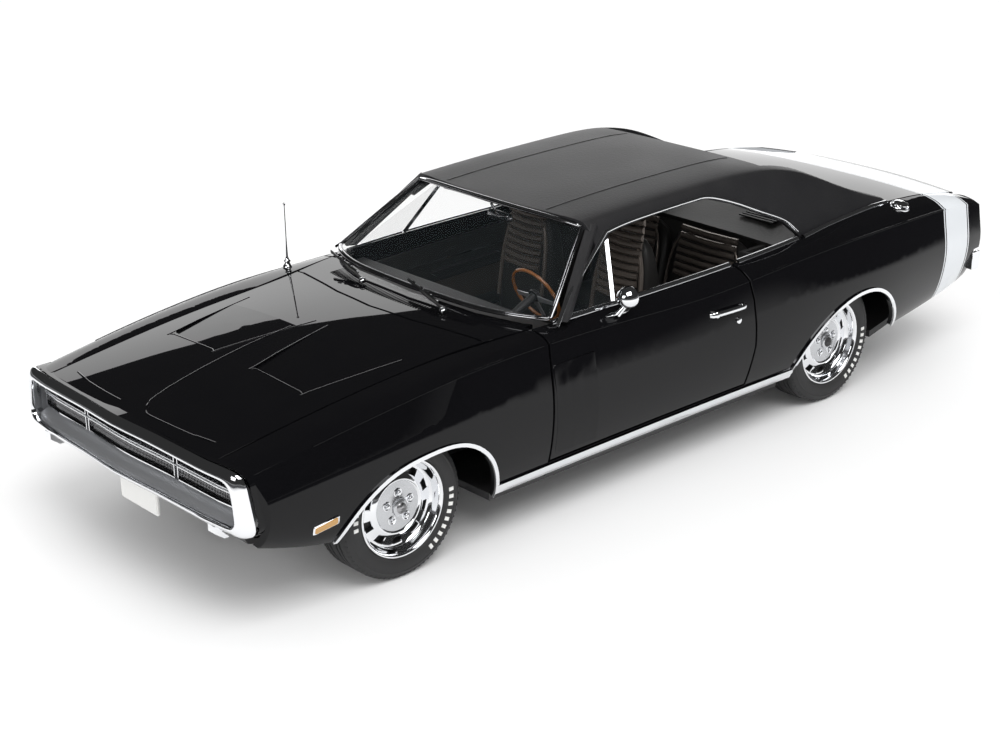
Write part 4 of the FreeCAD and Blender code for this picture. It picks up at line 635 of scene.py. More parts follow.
def rounded(outline, radius, steps=5):
    """Return a flat outline with its corners rounded."""
    result = []
    count = len(outline)
    for i in range(count):
        corner = Vector(outline[i])
        before = Vector(outline[i - 1]) - corner
        after = Vector(outline[(i + 1) % count]) - corner
        reach = min(radius, 0.45 * before.length, 0.45 * after.length)
        start = corner + before.normalized() * reach
        end = corner + after.normalized() * reach
        for k in range(steps + 1):
            t = k / steps
            result.append(tuple(start * (1 - t) ** 2 + corner * 2 * t * (1 - t) + end * t * t))
    return result


def smooth_path(points, samples, closed=False):
    """Return a smooth path through points, with even steps between them."""
    points = [Vector(point) for point in points]
    count = len(points)
    result = []
    spans = count if closed else count - 1
    for i in range(spans):
        near = [points[(i + k) % count] if closed else points[min(max(i + k, 0), count - 1)] for k in (-1, 0, 1, 2)]
        for k in range(samples):
            t = k / samples
            result.append(0.5 * (2 * near[1] + (near[2] - near[0]) * t
                                 + (2 * near[0] - 5 * near[1] + 4 * near[2] - near[3]) * t * t
                                 + (3 * near[1] - near[0] - 3 * near[2] + near[3]) * t ** 3))
    if not closed:
        result.append(points[-1])
    return result


def to_side(point, side):
    """Return a left-hand point or direction, or its mirror image for the right side."""
    return Vector((point[0], point[1] * side, point[2]))


def square_to(axis):
    """Return two directions square to an axis and to each other."""
    beside = axis.orthogonal().normalized()
    return beside, axis.cross(beside)


def spokes(count):
    """Return the cosines and sines of even turns round a circle."""
    turns = [2 * math.pi * k / count for k in range(count)]
    return [(math.cos(turn), math.sin(turn)) for turn in turns]


def oblong(a_low, b_low, a_high, b_high):
    """Return the corners of a flat oblong between its lowest and highest corner."""
    return [(a_low, b_low), (a_high, b_low), (a_high, b_high), (a_low, b_high)]


def evenly(half, count=48):
    """Return the ends of even steps from one side to the other."""
    return [-half + 2 * half * k / count for k in range(count + 1)]


def rectangle(width, depth):
    """Return a flat rectangular section about zero."""
    return oblong(-width / 2, -depth / 2, width / 2, depth / 2)


def circle(radius, sides=10):
    """Return a round section."""
    return [(radius * cosine, radius * sine) for cosine, sine in spokes(sides)]


def along_skin(look, places):
    """Return a skin's points and its normals, as the look from one side gives them, at each place."""
    found = [look(*place) for place in places]
    return [point for point, _ in found], [normal for _, normal in found]


def half_round(width, depth, steps=6):
    """Return a section flat below and domed above."""
    return [(width / 2 * math.cos(math.pi * k / steps), depth * math.sin(math.pi * k / steps))
            for k in range(steps + 1)]


# Geometry Nodes for what repeats
def repeat_group():
    """Build the tree that repeats a piece by a step and a turn about an axis."""
    tree, start, end = new_tree(
        "Repeat Piece",
        [("Piece", "NodeSocketObject", None), ("Count", "NodeSocketInt", 5),
         ("Step", "NodeSocketVector", (0, 0, 0)), ("Turn", "NodeSocketFloat", 0.0),
         ("First Turn", "NodeSocketFloat", 0.0), ("Axis", "NodeSocketVector", (0, 1, 0)),
         ("Centre", "NodeSocketVector", (0, 0, 0)), ("Finish", "NodeSocketMaterial", None)],
        [("Geometry", "NodeSocketGeometry")], "GeometryNodeTree")
    wiring = Wiring(tree)
    index = wiring.node("GeometryNodeInputIndex").outputs[0]
    offset = wiring.node("ShaderNodeVectorMath", {0: start.outputs["Step"], "Scale": index},
                         operation="SCALE").outputs[0]
    place = wiring.node("ShaderNodeVectorMath", {0: offset, 1: start.outputs["Centre"]}, operation="ADD").outputs[0]
    points = wiring.node("GeometryNodePoints", {"Count": start.outputs["Count"], "Position": place})
    angle = wiring.math("MULTIPLY_ADD", index, start.outputs["Turn"], start.outputs["First Turn"])
    turn = wiring.node("FunctionNodeAxisAngleToRotation", {"Axis": start.outputs["Axis"], "Angle": angle})
    stand_pieces(wiring, start, end, points, {"Rotation": turn.outputs[0]})
    return tree


def stand_pieces(wiring, start, end, points, more=()):
    """Stand the piece on the points, make its copies real and give them their finish."""
    piece = wiring.node("GeometryNodeObjectInfo", {"Object": start.outputs["Piece"]})
    placed = wiring.node("GeometryNodeInstanceOnPoints", {
        "Points": points.outputs[0], "Instance": piece.outputs["Geometry"], **dict(more)})
    real = wiring.node("GeometryNodeRealizeInstances", {0: placed.outputs[0]})
    dressed = wiring.node("GeometryNodeSetMaterial", {0: real.outputs[0], "Material": start.outputs["Finish"]})
    wiring.tree.links.new(dressed.outputs[0], end.inputs[0])


def path_group():
    """Build the tree that stands a piece at even steps along a path."""
    tree, start, end = new_tree(
        "Pieces Along Path",
        [("Path", "NodeSocketObject", None), ("Piece", "NodeSocketObject", None), ("Count", "NodeSocketInt", 5),
         ("Finish", "NodeSocketMaterial", None)],
        [("Geometry", "NodeSocketGeometry")], "GeometryNodeTree")
    wiring = Wiring(tree)
    path = wiring.node("GeometryNodeObjectInfo", {"Object": start.outputs["Path"]})
    line = wiring.node("GeometryNodeMeshToCurve", {0: path.outputs["Geometry"]})
    points = wiring.node("GeometryNodeCurveToPoints", {0: line.outputs[0], "Count": start.outputs["Count"]})
    stand_pieces(wiring, start, end, points)
    return tree


def grown(tree_name, inputs):
    """Run a Geometry Nodes tree with the given inputs and return its mesh."""
    tree = bpy.data.node_groups[tree_name]
    carrier = bpy.data.objects.new("carrier", bpy.data.meshes.new("carrier"))
    bpy.context.scene.collection.objects.link(carrier)
    modifier = carrier.modifiers.new("Grow", "NODES")
    modifier.node_group = tree
    for item in tree.interface.items_tree:
        if item.in_out == "INPUT" and item.name in inputs:
            modifier[item.identifier] = inputs[item.name]
    graph = bpy.context.evaluated_depsgraph_get()
    mesh = bpy.data.meshes.new_from_object(carrier.evaluated_get(graph))
    bpy.data.objects.remove(carrier)
    return mesh


def pattern(shape):
    """Turn a shape into the hidden object that a tree repeats."""
    bmesh.ops.remove_doubles(shape.mesh, verts=shape.mesh.verts, dist=MERGE_GAP)
    bmesh.ops.recalc_face_normals(shape.mesh, faces=shape.mesh.faces)
    data = smooth_data(shape.mesh, "pattern")
    data.set_sharp_from_angle(angle=SHARP_ANGLE)
    piece = bpy.data.objects.new("pattern", data)
    bpy.context.scene.collection.objects.link(piece)
    return piece


def repeated(name, shape, finish_name, body, count, step=(0, 0, 0), turn=0.0, first_turn=0.0,
             axis=(0, 1, 0), centre=(0, 0, 0)):
    """Repeat a shape by a step and a turn, as one piece on a body."""
    source = pattern(shape)
    mesh = grown("Repeat Piece", {
        "Piece": source, "Count": count, "Step": [value * MM for value in step], "Turn": turn,
        "First Turn": first_turn, "Axis": axis, "Centre": [value * MM for value in centre],
        "Finish": finishes[finish_name]})
    bpy.data.objects.remove(source)
    return fit(bpy.data.objects.new(name, mesh), body)


def strung(name, shape, path, finish_name, body, count):
    """Stand a shape at even steps along a path, as one piece on a body."""
    source = pattern(shape)
    line = bpy.data.meshes.new("path")
    line.from_pydata([Vector(point) * MM for point in path], [(i, i + 1) for i in range(len(path) - 1)], [])
    guide = bpy.data.objects.new("path", line)
    bpy.context.scene.collection.objects.link(guide)
    mesh = grown("Pieces Along Path", {"Path": guide, "Piece": source, "Count": count,
                                       "Finish": finishes[finish_name]})
    bpy.data.objects.remove(source)
    bpy.data.objects.remove(guide)
    return fit(bpy.data.objects.new(name, mesh), body)


# Painted panels
def dress_panel(node, skins, finish_name, body, reach=0.06):
    """Replace a CAD panel by its merged copy with rounded edges and the true skin's normals."""
    shape = Shape()
    shape.copy_node(node, finish_name)
    mesh = shape.mesh
    bmesh.ops.dissolve_degenerate(mesh, edges=mesh.edges, dist=MERGE_GAP)
    tag = mesh.faces.layers.int.new("skin")
    mesh.verts.index_update()
    found = {vert: [skin.nearest(vert.co) for skin in skins] for vert in mesh.verts}
    cos_limit = math.cos(SKIN_ANGLE)
    for face in mesh.faces:
        best, best_gap = -1, reach
        for k in range(len(skins)):
            gap = max(found[vert][k][0] for vert in face.verts)
            if gap < best_gap and Vector(found[face.verts[0]][k][1]).dot(face.normal) > cos_limit:
                best, best_gap = k, gap
        face[tag] = best
    edges = [edge for edge in mesh.edges if len(edge.link_faces) == 2
             and edge.link_faces[0][tag] != edge.link_faces[1][tag]
             and edge.calc_face_angle(0) > EDGE_ANGLE]
    rounding = settings("paint").edge / MM
    result = bmesh.ops.bevel(mesh, geom=edges, offset=rounding, segments=1, affect="EDGES", clamp_overlap=False)
    for face in result["faces"]:
        face[tag] = -2
    mesh.normal_update()
    cos_smooth = math.cos(WALL_ANGLE)
    known = {}
    normals = []

    def skin_normal(vert, k):
        """Return a skin's normal beside a vertex, worked out once for each."""
        key = (vert, k)
        if key not in known:
            known[key] = Vector(skins[k].nearest(vert.co)[1])
        return known[key]

    for face in mesh.faces:
        for vert in face.verts:
            if face[tag] >= 0:
                normals.append(skin_normal(vert, face[tag]))
                continue
            if face[tag] == -2:
                skin_face = next((other for other in vert.link_faces if other[tag] >= 0), None)
                if skin_face is not None:
                    normals.append(skin_normal(vert, skin_face[tag]))
                    continue
            total = Vector((0, 0, 0))
            for other in vert.link_faces:
                if other[tag] == -1 and (face[tag] == -2 or other.normal.dot(face.normal) > cos_smooth):
                    total += other.normal * other.calc_area()
            normals.append(total.normalized() if total.length > 0 else face.normal.copy())
    data = smooth_data(mesh, node + "_dressed")
    data.materials.append(finishes[finish_name])
    data.normals_split_custom_set([tuple(normal) for normal in normals])
    return fit(bpy.data.objects.new(node + "_panel", data), body, (node,))


def carry_over(node, finish_name, smooth=35.0):
    """Dress a CAD node that keeps its own shape, as a merged copy with smooth curves."""
    shape = Shape()
    shape.copy_node(node, finish_name)
    body = frame["nodes"][node]["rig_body"]
    return shape.make(node + "_dressed", body, (node,), smooth=smooth, recalculate=False)


class MUSCLE_OT_panels(bpy.types.Operator):
    """Dress the painted panels and the roof covering"""
    bl_idname = "muscle.panels"
    bl_label = "Body Panels"

    def execute(self, context):
        for node, skins, body in (
                ("fenders", side_skins, "body"), ("sills", side_skins, "body"), ("quarters", side_skins, "body"),
                ("door_left", side_skins, "door_left"), ("door_right", side_skins, "door_right"),
                ("hood", [hood_skin], "hood"), ("cowl_panel", [hood_skin], "body"),
                ("trunk_lid", [deck_skin], "trunk_lid"), ("rear_shelf", [deck_skin], "body")):
            dress_panel(node, skins, "paint", body)
        dress_panel("roof", [roof_skin], "vinyl", "body")
        return {"FINISHED"}


# The nose: bumper loop, grille and shelf
loop_plan_shares = [(0.4800, 0.95), (0.4905, 0.86), (0.4950, 0.67), (0.4978, 0.37), (0.5, 0.0)]
loop_outer = [(49.78, 26.18), (47.60, 42.41), (0.0, 43.90), (-47.60, 42.41), (-49.78, 26.18), (0.0, 27.83)]
loop_inner = [(46.60, 28.50), (45.10, 39.90), (0.0, 41.60), (-45.10, 39.90), (-46.60, 28.50), (0.0, 29.62)]
loop_corner = 3.4
bumper_deep = 3.2
tunnel_deep = 9.4
grille_half = 44.6
grille_setback = 4.7


def nose_x(y):
    """Return how far forward the bumper's face lies at a side place."""
    ys = [place * half_width for _, place in loop_plan_shares][::-1]
    xs = [place * length for place, _ in loop_plan_shares][::-1]
    return float(np.interp(abs(y), ys, xs)) + 0.35 * math.cos(math.pi * min(abs(y), 20.0) / 20.0) - 0.35


def nose_path(setback, z_middle, z_side, y_from, y_to, steps=24):
    """Return a level path that follows the nose between two side places."""
    path = []
    for k in range(steps + 1):
        y = y_from + (y_to - y_from) * k / steps
        path.append((nose_x(y) - setback, y, z_middle + (z_side - z_middle) * abs(y) / grille_half))
    return path


def split_outline(outline, pieces=10):
    """Return a rounded loop outline with its long runs split evenly."""
    corners = 6
    points = rounded(outline, loop_corner)
    per_corner = len(points) // corners
    result = []
    for corner in range(corners):
        arc = points[corner * per_corner:(corner + 1) * per_corner]
        result.extend(arc)
        start, end = Vector(arc[-1]), Vector(points[(corner + 1) * per_corner % len(points)])
        result.extend([tuple(start.lerp(end, k / pieces)) for k in range(1, pieces)])
    return result


class MUSCLE_OT_nose(bpy.types.Operator):
    """Build the bumper loop, the grille in its tunnel, the shelf below it and the blank plate"""
    bl_idname = "muscle.nose"
    bl_label = "Nose"

    def execute(self, context):
        outer, inner = split_outline(loop_outer), split_outline(loop_inner)
        face_profile = [(0.0, 1.90), (0.03, 1.45), (0.12, 1.05), (0.28, 0.66), (0.46, 0.36), (0.64, 0.14),
                        (0.82, 0.0), (0.93, 0.04), (1.0, 0.30), (1.0, bumper_deep)]
        wrap_profile = [(0.0, 1.88), (0.0, 4.6), (0.3, 4.6), (0.3, 2.2)]
        loop, tunnel, wrap = [], [], []
        tunnel_wall = 0.5
        for (y0, z0), (y1, z1) in zip(outer, inner):
            ring = []
            for share, setback in face_profile:
                y, z = y0 + (y1 - y0) * share, z0 + (z1 - z0) * share
                ring.append((nose_x(y) - setback, y, z))
            loop.append(ring)
            depth = 1.0 + 0.5 * min(abs(y0) / 45.0, 1.0) ** 4
            wrap.append([(nose_x(y0) - setback * depth, y0 + (y1 - y0) * share, z0 + (z1 - z0) * share)
                         for share, setback in wrap_profile])
            out = Vector((y0 - y1, z0 - z1)).normalized() * tunnel_wall
            x = nose_x(y1)
            tunnel.append([(x - 1.2, y1, z1), (x - tunnel_deep, y1, z1),
                           (x - tunnel_deep, y1 + out[0], z1 + out[1]), (x - 1.2, y1 + out[0], z1 + out[1])])
        bumper = Shape()
        bumper.loft(loop, "chrome", closed=True)
        bumper.loft(tunnel, "argent", closed=True)
        bumper.loft(wrap, "paint", closed=True)
        for side in SIDES:
            y = side * 37.5
            x = nose_x(y)
            bumper.loft([[(x - a, y + b, z) for a, b in ((0.6, -1.4), (0.6, 1.4), (2.6, 1.4), (2.6, -1.4))]
                         for z in (27.2, 25.4)] +
                        [[(x - a, y + b, 23.2) for a, b in ((3.4, -0.9), (3.4, 0.9), (4.8, 0.9), (4.8, -0.9))]],
                        "chrome")
        bumper.make("bumper_loop", "body", ("front_bumper",), smooth=50)

        shelf = Shape()
        rings = []
        low_half = 45.6
        for y in evenly(low_half):
            near = nose_x(y)
            lip = 29.7 - 1.3 * abs(y) / low_half
            back = 32.4 - 1.3 * abs(y) / low_half
            rings.append([(near - 1.2, y, lip - 0.8), (near - 1.0, y, lip), (near - 1.9, y, lip + 0.25),
                          (near - 2.3, y, lip + 0.9), (near - 6.0, y, back), (near - 6.4, y, back - 0.8)])
        shelf.loft(rings, "brushed")
        shelf.make("grille_shelf", "body", smooth=40)

        grille = Shape()
        row_shares = (0.05, 0.46, 0.54, 0.95)
        low_line, high_line = (32.6, 31.3), (41.0, 39.5)

        def level(share):
            """Return the height of a line of the grille in the middle and at its ends."""
            return [low_line[i] + (high_line[i] - low_line[i]) * share for i in (0, 1)]

        divider_y = 20.2
        bays = [(-grille_half, -divider_y), (-divider_y, divider_y), (divider_y, grille_half)]
        back_low, back_high = level(-0.02), level(1.02)
        back = []
        for y in evenly(grille_half):
            x = nose_x(y) - grille_setback
            share = abs(y) / grille_half
            low = back_low[0] + (back_low[1] - back_low[0]) * share
            high = back_high[0] + (back_high[1] - back_high[0]) * share
            back.append([(x - 1.2, y, low), (x - 1.2, y, high), (x - 1.8, y, high), (x - 1.8, y, low)])
        grille.loft(back, "grille_black")
        for y_from, y_to in bays:
            inset = 0.7
            for share in row_shares:
                middle, side = level(share)
                grille.sweep(nose_path(grille_setback - 0.35, middle, side, y_from + inset, y_to - inset),
                             rectangle(0.9, 0.30), "chrome")
            for first, last in ((0, 1), (2, 3)):
                low, high = level(row_shares[first]), level(row_shares[last])
                for y in (y_from + inset, y_to - inset):
                    share = abs(y) / grille_half
                    x = nose_x(y) - grille_setback + 0.35
                    grille.block((x - 0.45, y - 0.16, low[0] + (low[1] - low[0]) * share - 0.15),
                                 (x + 0.45, y + 0.16, high[0] + (high[1] - high[0]) * share + 0.15), "chrome")
                wires = settings("grille").wires
                for k in range(wires):
                    share = row_shares[first] + (row_shares[last] - row_shares[first]) * (k + 0.5) / wires
                    middle, side = level(share)
                    grille.sweep(nose_path(grille_setback + 0.15, middle, side, y_from + inset, y_to - inset),
                                 rectangle(0.30, 0.10), "dark_chrome")
        middle, side = level(0.5)
        grille.sweep(nose_path(grille_setback - 0.8, middle, side, -grille_half, grille_half, 48),
                     half_round(0.5, 0.3), "chrome", up=(1, 0, 0))
        grille.make("grille_frames", "body", ("grille",), smooth=40)
        for first, last in ((0, 1), (2, 3)):
            low, high = level(row_shares[first]), level(row_shares[last])
            half = (high[0] - low[0] + high[1] - low[1]) / 4 - 0.1
            wire = Shape()
            wire.block((-0.12, -0.07, -half), (0.12, 0.07, half), "dark_chrome")
            path = nose_path(grille_setback + 0.05, (low[0] + high[0]) / 2, (low[1] + high[1]) / 2,
                             -grille_half + 0.9, grille_half - 0.9, 48)
            strung("grille_wires_%d" % first, wire, path, "dark_chrome", "body",
                   settings("grille").columns)

        low, high = box_mm("front_plate")
        plate = Shape()
        outline = oblong(low.y, low.z, high.y, high.z)
        plate.plate(rounded(outline, 0.9), "YZ", low.x, high.x - 0.15, "blank_plate")
        inset = 0.45
        ledge = oblong(low.y + inset, low.z + inset, high.y - inset, high.z - inset)
        plate.plate(rounded(ledge, 0.6), "YZ", high.x - 0.2, high.x, "blank_plate")
        plate.make("blank_plate", "body", ("front_plate",), bevel=0.06)
        carry_over("front_valance", "paint")
        return {"FINISHED"}


# Wheels: half profiles of (radius, reach) from the middle of the wheel outwards
tyre_profile = [
    (12.25, 4.90), (12.95, 5.35), (13.25, 5.62), (13.45, 5.62), (13.60, 5.74), (13.95, 5.86), (14.4, 5.98),
    (15.2, 6.02), (16.0, 5.99), (16.35, 5.92), (16.50, 6.00), (16.75, 5.98), (16.85, 5.84), (17.4, 5.60),
    (18.0, 5.20), (18.35, 4.85), (18.50, 4.45), (18.55, 4.05), (18.55, 3.25), (18.22, 3.20), (18.22, 2.80),
    (18.55, 2.75), (18.55, 1.65), (18.22, 1.60), (18.22, 1.20), (18.55, 1.15)]
rim_profile = [
    (12.20, 4.90), (12.55, 5.20), (12.86, 5.50), (12.74, 5.62), (12.40, 5.60), (12.05, 5.30), (11.85, 4.70),
    (11.60, 3.60), (11.25, 2.80), (10.85, 2.45), (10.45, 2.40), (10.25, 2.45), (8.55, 3.00), (8.30, 3.12),
    (7.60, 3.55), (7.20, 3.72), (6.90, 3.66), (6.72, 3.42), (6.50, 3.30), (5.60, 3.42), (4.60, 3.62),
    (2.60, 3.75), (2.30, 3.95), (2.15, 4.45), (1.70, 4.72), (0.90, 4.86), (0.0, 4.90), (0.0, 2.0),
    (7.0, 1.6), (10.2, 1.2), (11.0, 0.4), (11.2, -4.6), (11.9, -4.95), (12.20, -4.90)]
disc_edge_radius = 6.6
slot_band = (8.4, 10.35)
nut_ring_radius = 3.75


class MUSCLE_OT_wheels(bpy.types.Operator):
    """Build the four tyres with their raised bars, and the slotted rims with their nuts"""
    bl_idname = "muscle.wheels"
    bl_label = "Wheels"

    def execute(self, context):
        for place in ("front", "rear"):
            for side in SIDES:
                self.wheel(place, side)
        return {"FINISHED"}

    def wheel(self, place, side):
        """Build one wheel round the axle that the frame gives."""
        values = settings("wheel")
        name = place + "_" + SIDE_NAMES[side]
        low, high = box_mm("tyre_" + name)
        centre = (low + high) / 2
        body = "wheel_" + name
        tyre = Shape()
        inner_side = [(radius, -reach) for radius, reach in reversed(tyre_profile)]
        tyre.lathe(tyre_profile + inner_side, centre, "rubber", side=side, segments=144)
        tyre.make("tyre_" + name + "_rubber", body, ("tyre_" + name,), smooth=38)
        for group in (0, 1):
            bar = Shape()
            bar.loft([[(x, side * reach, z) for x, z in oblong(-half, foot, half, top)]
                      for reach, half, foot, top in ((5.85, 0.52, 14.35, 15.75), (6.17, 0.46, 14.42, 15.68))],
                     "white_rubber")
            step = math.radians(7.6)
            first = math.radians((32 if side > 0 else -92) + 180 * group)
            repeated("bars_%s_%d" % (name, group), bar, "white_rubber", body, values.bars,
                     turn=step, first_turn=first, centre=centre)
        for end in (1, -1):
            block = Shape()
            half = 0.22
            block.loft([[(-half, end * 4.75, near), (half, end * 4.75, near), (half, end * reach, far),
                         (-half, end * reach, far)] for near, reach, far in ((18.47, 5.42, 17.98), (18.1, 5.2, 17.7))],
                       "rubber")
            repeated("tread_blocks_%s_%s" % (name, "out" if end == side else "in"), block, "rubber", body,
                     values.blocks, turn=2 * math.pi / values.blocks, centre=centre)

        rim = Shape()
        per_slot = 12
        segments = values.slots * per_slot
        rim.lathe(rim_profile, centre, "chrome", side=side, segments=segments)
        mesh = rim.mesh
        bmesh.ops.remove_doubles(mesh, verts=mesh.verts, dist=MERGE_GAP)
        bmesh.ops.recalc_face_normals(mesh, faces=mesh.faces)
        argent, dark = rim.group("wheel_argent"), rim.group("grille_black")
        pockets = []
        for face in mesh.faces:
            spot = face.calc_center_median() - centre
            radius = math.hypot(spot.x, spot.z)
            outside = face.normal.y * side > 0.2
            if radius < disc_edge_radius and outside:
                face.material_index = argent
            turn = (math.degrees(math.atan2(spot.z, spot.x)) % 360) / (360 / values.slots) % 1
            if slot_band[0] < radius < slot_band[1] and outside and 0.22 < turn < 0.78:
                pockets.append(face)
        bmesh.ops.inset_region(mesh, faces=pockets, thickness=0.18, depth=-0.15, use_even_offset=True)
        deep = bmesh.ops.inset_region(mesh, faces=pockets, thickness=0.05, depth=-1.1, use_even_offset=True)
        for face in pockets + deep["faces"]:
            face.material_index = dark
        rim.make("rim_" + name + "_metal", body, ("rim_" + name,), smooth=32, recalculate=False)

        nut = Shape()
        hexagon = circle(0.72, 6)
        base = 3.55
        nut.loft([[(a * scale, side * y, nut_ring_radius + b * scale) for a, b in hexagon]
                  for y, scale in ((base, 1.0), (base + 0.65, 1.0), (base + 0.85, 0.8), (base + 0.95, 0.45))],
                 "chrome")
        seat = [(1.25, 3.45), (1.25, 3.72), (1.05, 3.80), (0.85, 3.72), (0.85, 3.45)]
        nut.loft([[(radius * cosine, side * y, nut_ring_radius + radius * sine) for radius, y in seat]
                  for cosine, sine in spokes(16)], "chrome", closed=True)
        repeated("nuts_" + name, nut, "chrome", body, values.nuts,
                 turn=2 * math.pi / values.nuts, centre=centre)


# Glass, bright trims and small fittings
window_line = [(42.6, 52.3), (34.5, 57.5), (15.2, 69.3), (9.5, 70.0), (0.6, 70.5), (-17.9, 71.0), (-25.2, 70.7),
               (-34.2, 67.7), (-44.0, 63.3), (-53.6, 58.9), (-58.6, 54.6)]
windshield_line = [(24.9, 0.0, 72.9), (24.6, 12.0, 72.8), (23.6, 23.4, 72.5), (22.4, 29.0, 72.0), (20.7, 33.4, 71.2),
                   (28.4, 37.0, 65.2), (35.6, 40.6, 59.3), (42.4, 43.9, 53.7), (45.9, 39.6, 53.8),
                   (49.4, 31.4, 53.9), (51.7, 20.8, 54.1), (53.0, 0.0, 54.3)]
roof_base_line = [(-59.2, 43.5, 53.0), (-64.0, 43.1, 53.35), (-70.9, 42.4, 53.75), (-80.2, 41.8, 54.1),
                  (-88.0, 41.3, 54.3), (-95.0, 40.8, 54.3), (-102.6, 40.4, 53.9)]
door_front_x, door_rear_x = 47.0, -27.2
handle_z = 42.4
plate_front_x, plate_long, plate_low_z, plate_tall = 47.4, 14.8, 19.6, 24.0
tray_front_x, tray_long, tray_low_z = -54.4, 36.8, 50.0
seam_y, seam_front_x, seam_long = 20.3, 21.5, 72.5
# Past this length the window's edge runs on down the pillar, falling and spreading
pillar_x, pillar_fall, pillar_spread = 34.0, 0.62, 0.50


class MUSCLE_OT_trims(bpy.types.Operator):
    """Fit the glass and the bright trims round the windows, along the belt and the sills"""
    bl_idname = "muscle.trims"
    bl_label = "Glass and Trims"

    def execute(self, context):
        for node in ("windshield", "rear_window", "vent_window_left", "vent_window_right"):
            carry_over(node, "glass", smooth=60)
        carry_over("body_trim", "chrome", smooth=40)

        frames = Shape()
        path, ups = [], []
        for x, z in window_line:
            past = max(x - pillar_x, 0.0)
            point, normal = roof_skin.beside(x - past, z + past * pillar_fall)
            path.append(Vector((x, point.y + past * pillar_spread, z)))
            ups.append(normal)
        fine = smooth_path(path[2:], 4)
        fine_ups = smooth_path(ups[2:], 4)
        frames.both_sides(path[:3] + fine[1:], half_round(1.15, 0.42, 5), "chrome", ups[:3] + fine_ups[1:])
        frames.make("side_window_frames", "body", smooth=50)

        surround = Shape()
        half = [Vector(point) for point in windshield_line]
        top = smooth_path(half[:5], 4)
        foot = smooth_path(half[7:], 4)
        left = top + half[5:7] + foot
        loop = left + [to_side(point, -1) for point in reversed(left[1:-1])]
        surround.sweep(loop, half_round(1.5, 0.55, 5), "dark_chrome", up=(0.6, 0, 0.8), closed=True)
        surround.sweep(loop, oblong(0.05, 0.50, 0.35, 0.66), "chrome", up=(0.6, 0, 0.8), closed=True)
        low, high = box_mm("rear_window")
        rear_half, rear_reach = 33.2, 41.0
        foot = Vector((low.x - 0.3, rear_half, 56.2))
        rise = Vector((high.x - 0.6, rear_half, high.z + 0.1)) - foot
        across = Vector((0, -2 * rear_half, 0))
        rear_loop = [foot + across * (a / (2 * rear_half)) + rise * (b / rear_reach)
                     for a, b in rounded(oblong(0, 0, 2 * rear_half, rear_reach), 3.0)]
        surround.sweep(rear_loop, half_round(1.3, 0.5, 5), "chrome", up=(-0.35, 0, 0.94), closed=True)
        surround.make("glass_surrounds", "body", smooth=50)

        belt_points = [Vector(point) for point in shoulder.points[:, -1]]
        belt_normal = Vector((0, 0.35, 0.94))
        section, crease_section = half_round(1.7, 0.65, 5), half_round(0.55, 0.13, 4)
        for side in SIDES:
            belt = Shape()
            line = [point + belt_normal * 0.1 for point in belt_points if door_rear_x < point.x < door_front_x - 5]
            belt.both_sides(line, section, "chrome", [belt_normal] * len(line), sides=(side,))
            crease = self.crease_line(door_rear_x - 0.3, door_front_x - 0.3)
            belt.both_sides(crease[0], crease_section, "paint", crease[1], sides=(side,))
            belt.make("door_belt_" + SIDE_NAMES[side], "door_" + SIDE_NAMES[side], smooth=50)
        belt = Shape()
        line = [point + belt_normal * 0.1 for point in belt_points if -58.5 < point.x < door_rear_x - 1.4]
        belt.both_sides(line, section, "chrome", [belt_normal] * len(line))
        base = smooth_path(roof_base_line, 4)
        belt.both_sides(base, section, "chrome", [Vector((0, 0.45, 0.89))] * len(base))
        for low, high in ((-124.0, door_rear_x - 1.6), (49.4, 122.0)):
            crease = self.crease_line(low, high)
            belt.both_sides(crease[0], crease_section, "paint", crease[1])
        belt.make("body_belt", "body", smooth=50)

        tray = Shape()
        rings = []
        for k in range(13):
            x = tray_front_x - tray_long * k / 12
            half = float(np.interp(-x, (54.4, 62.0, 91.0), (41.0, 40.6, 37.6)))
            z = tray_low_z + 4.2 * (k / 12) ** 1.2
            rings.append([(x, half, z), (x, half * 0.5, z + 0.5), (x, 0, z + 0.6), (x, -half * 0.5, z + 0.5),
                          (x, -half, z), (x, -half, z - 0.7), (x, half, z - 0.7)])
        tray.loft(rings, "cabin_black")
        for side in SIDES:
            for k in range(7):
                x, y, z = -66.0 - 1.5 * k, side * 20.0, 51.9 + 0.12 * k
                tray.block((x - 0.4, y - 6.5, z), (x + 0.4, y + 6.5, z + 0.4), "satin_black")
        tray.make("rear_tray", "body", smooth=40)

        seams = Shape()
        for y in (-seam_y, seam_y):
            line, ups = along_skin(roof_skin.above, [(seam_front_x - seam_long * k / 39, y) for k in range(40)])
            seams.sweep(line, half_round(0.75, 0.13, 4), "vinyl", up=ups)
        seams.make("roof_seams", "body", smooth=60)
        return {"FINISHED"}

    def crease_line(self, low, high):
        """Return the body's side crease between two lengths, as left-hand points and normals."""
        row = shoulder.points[:, 0]
        xs, ys, zs = row[np.argsort(row[:, 0])].T
        points = [Vector((x, abs(np.interp(x, xs, ys)), np.interp(x, xs, zs))) for x in np.linspace(low, high, 40)]
        return points, [Vector((0, 0.72, 0.69))] * len(points)


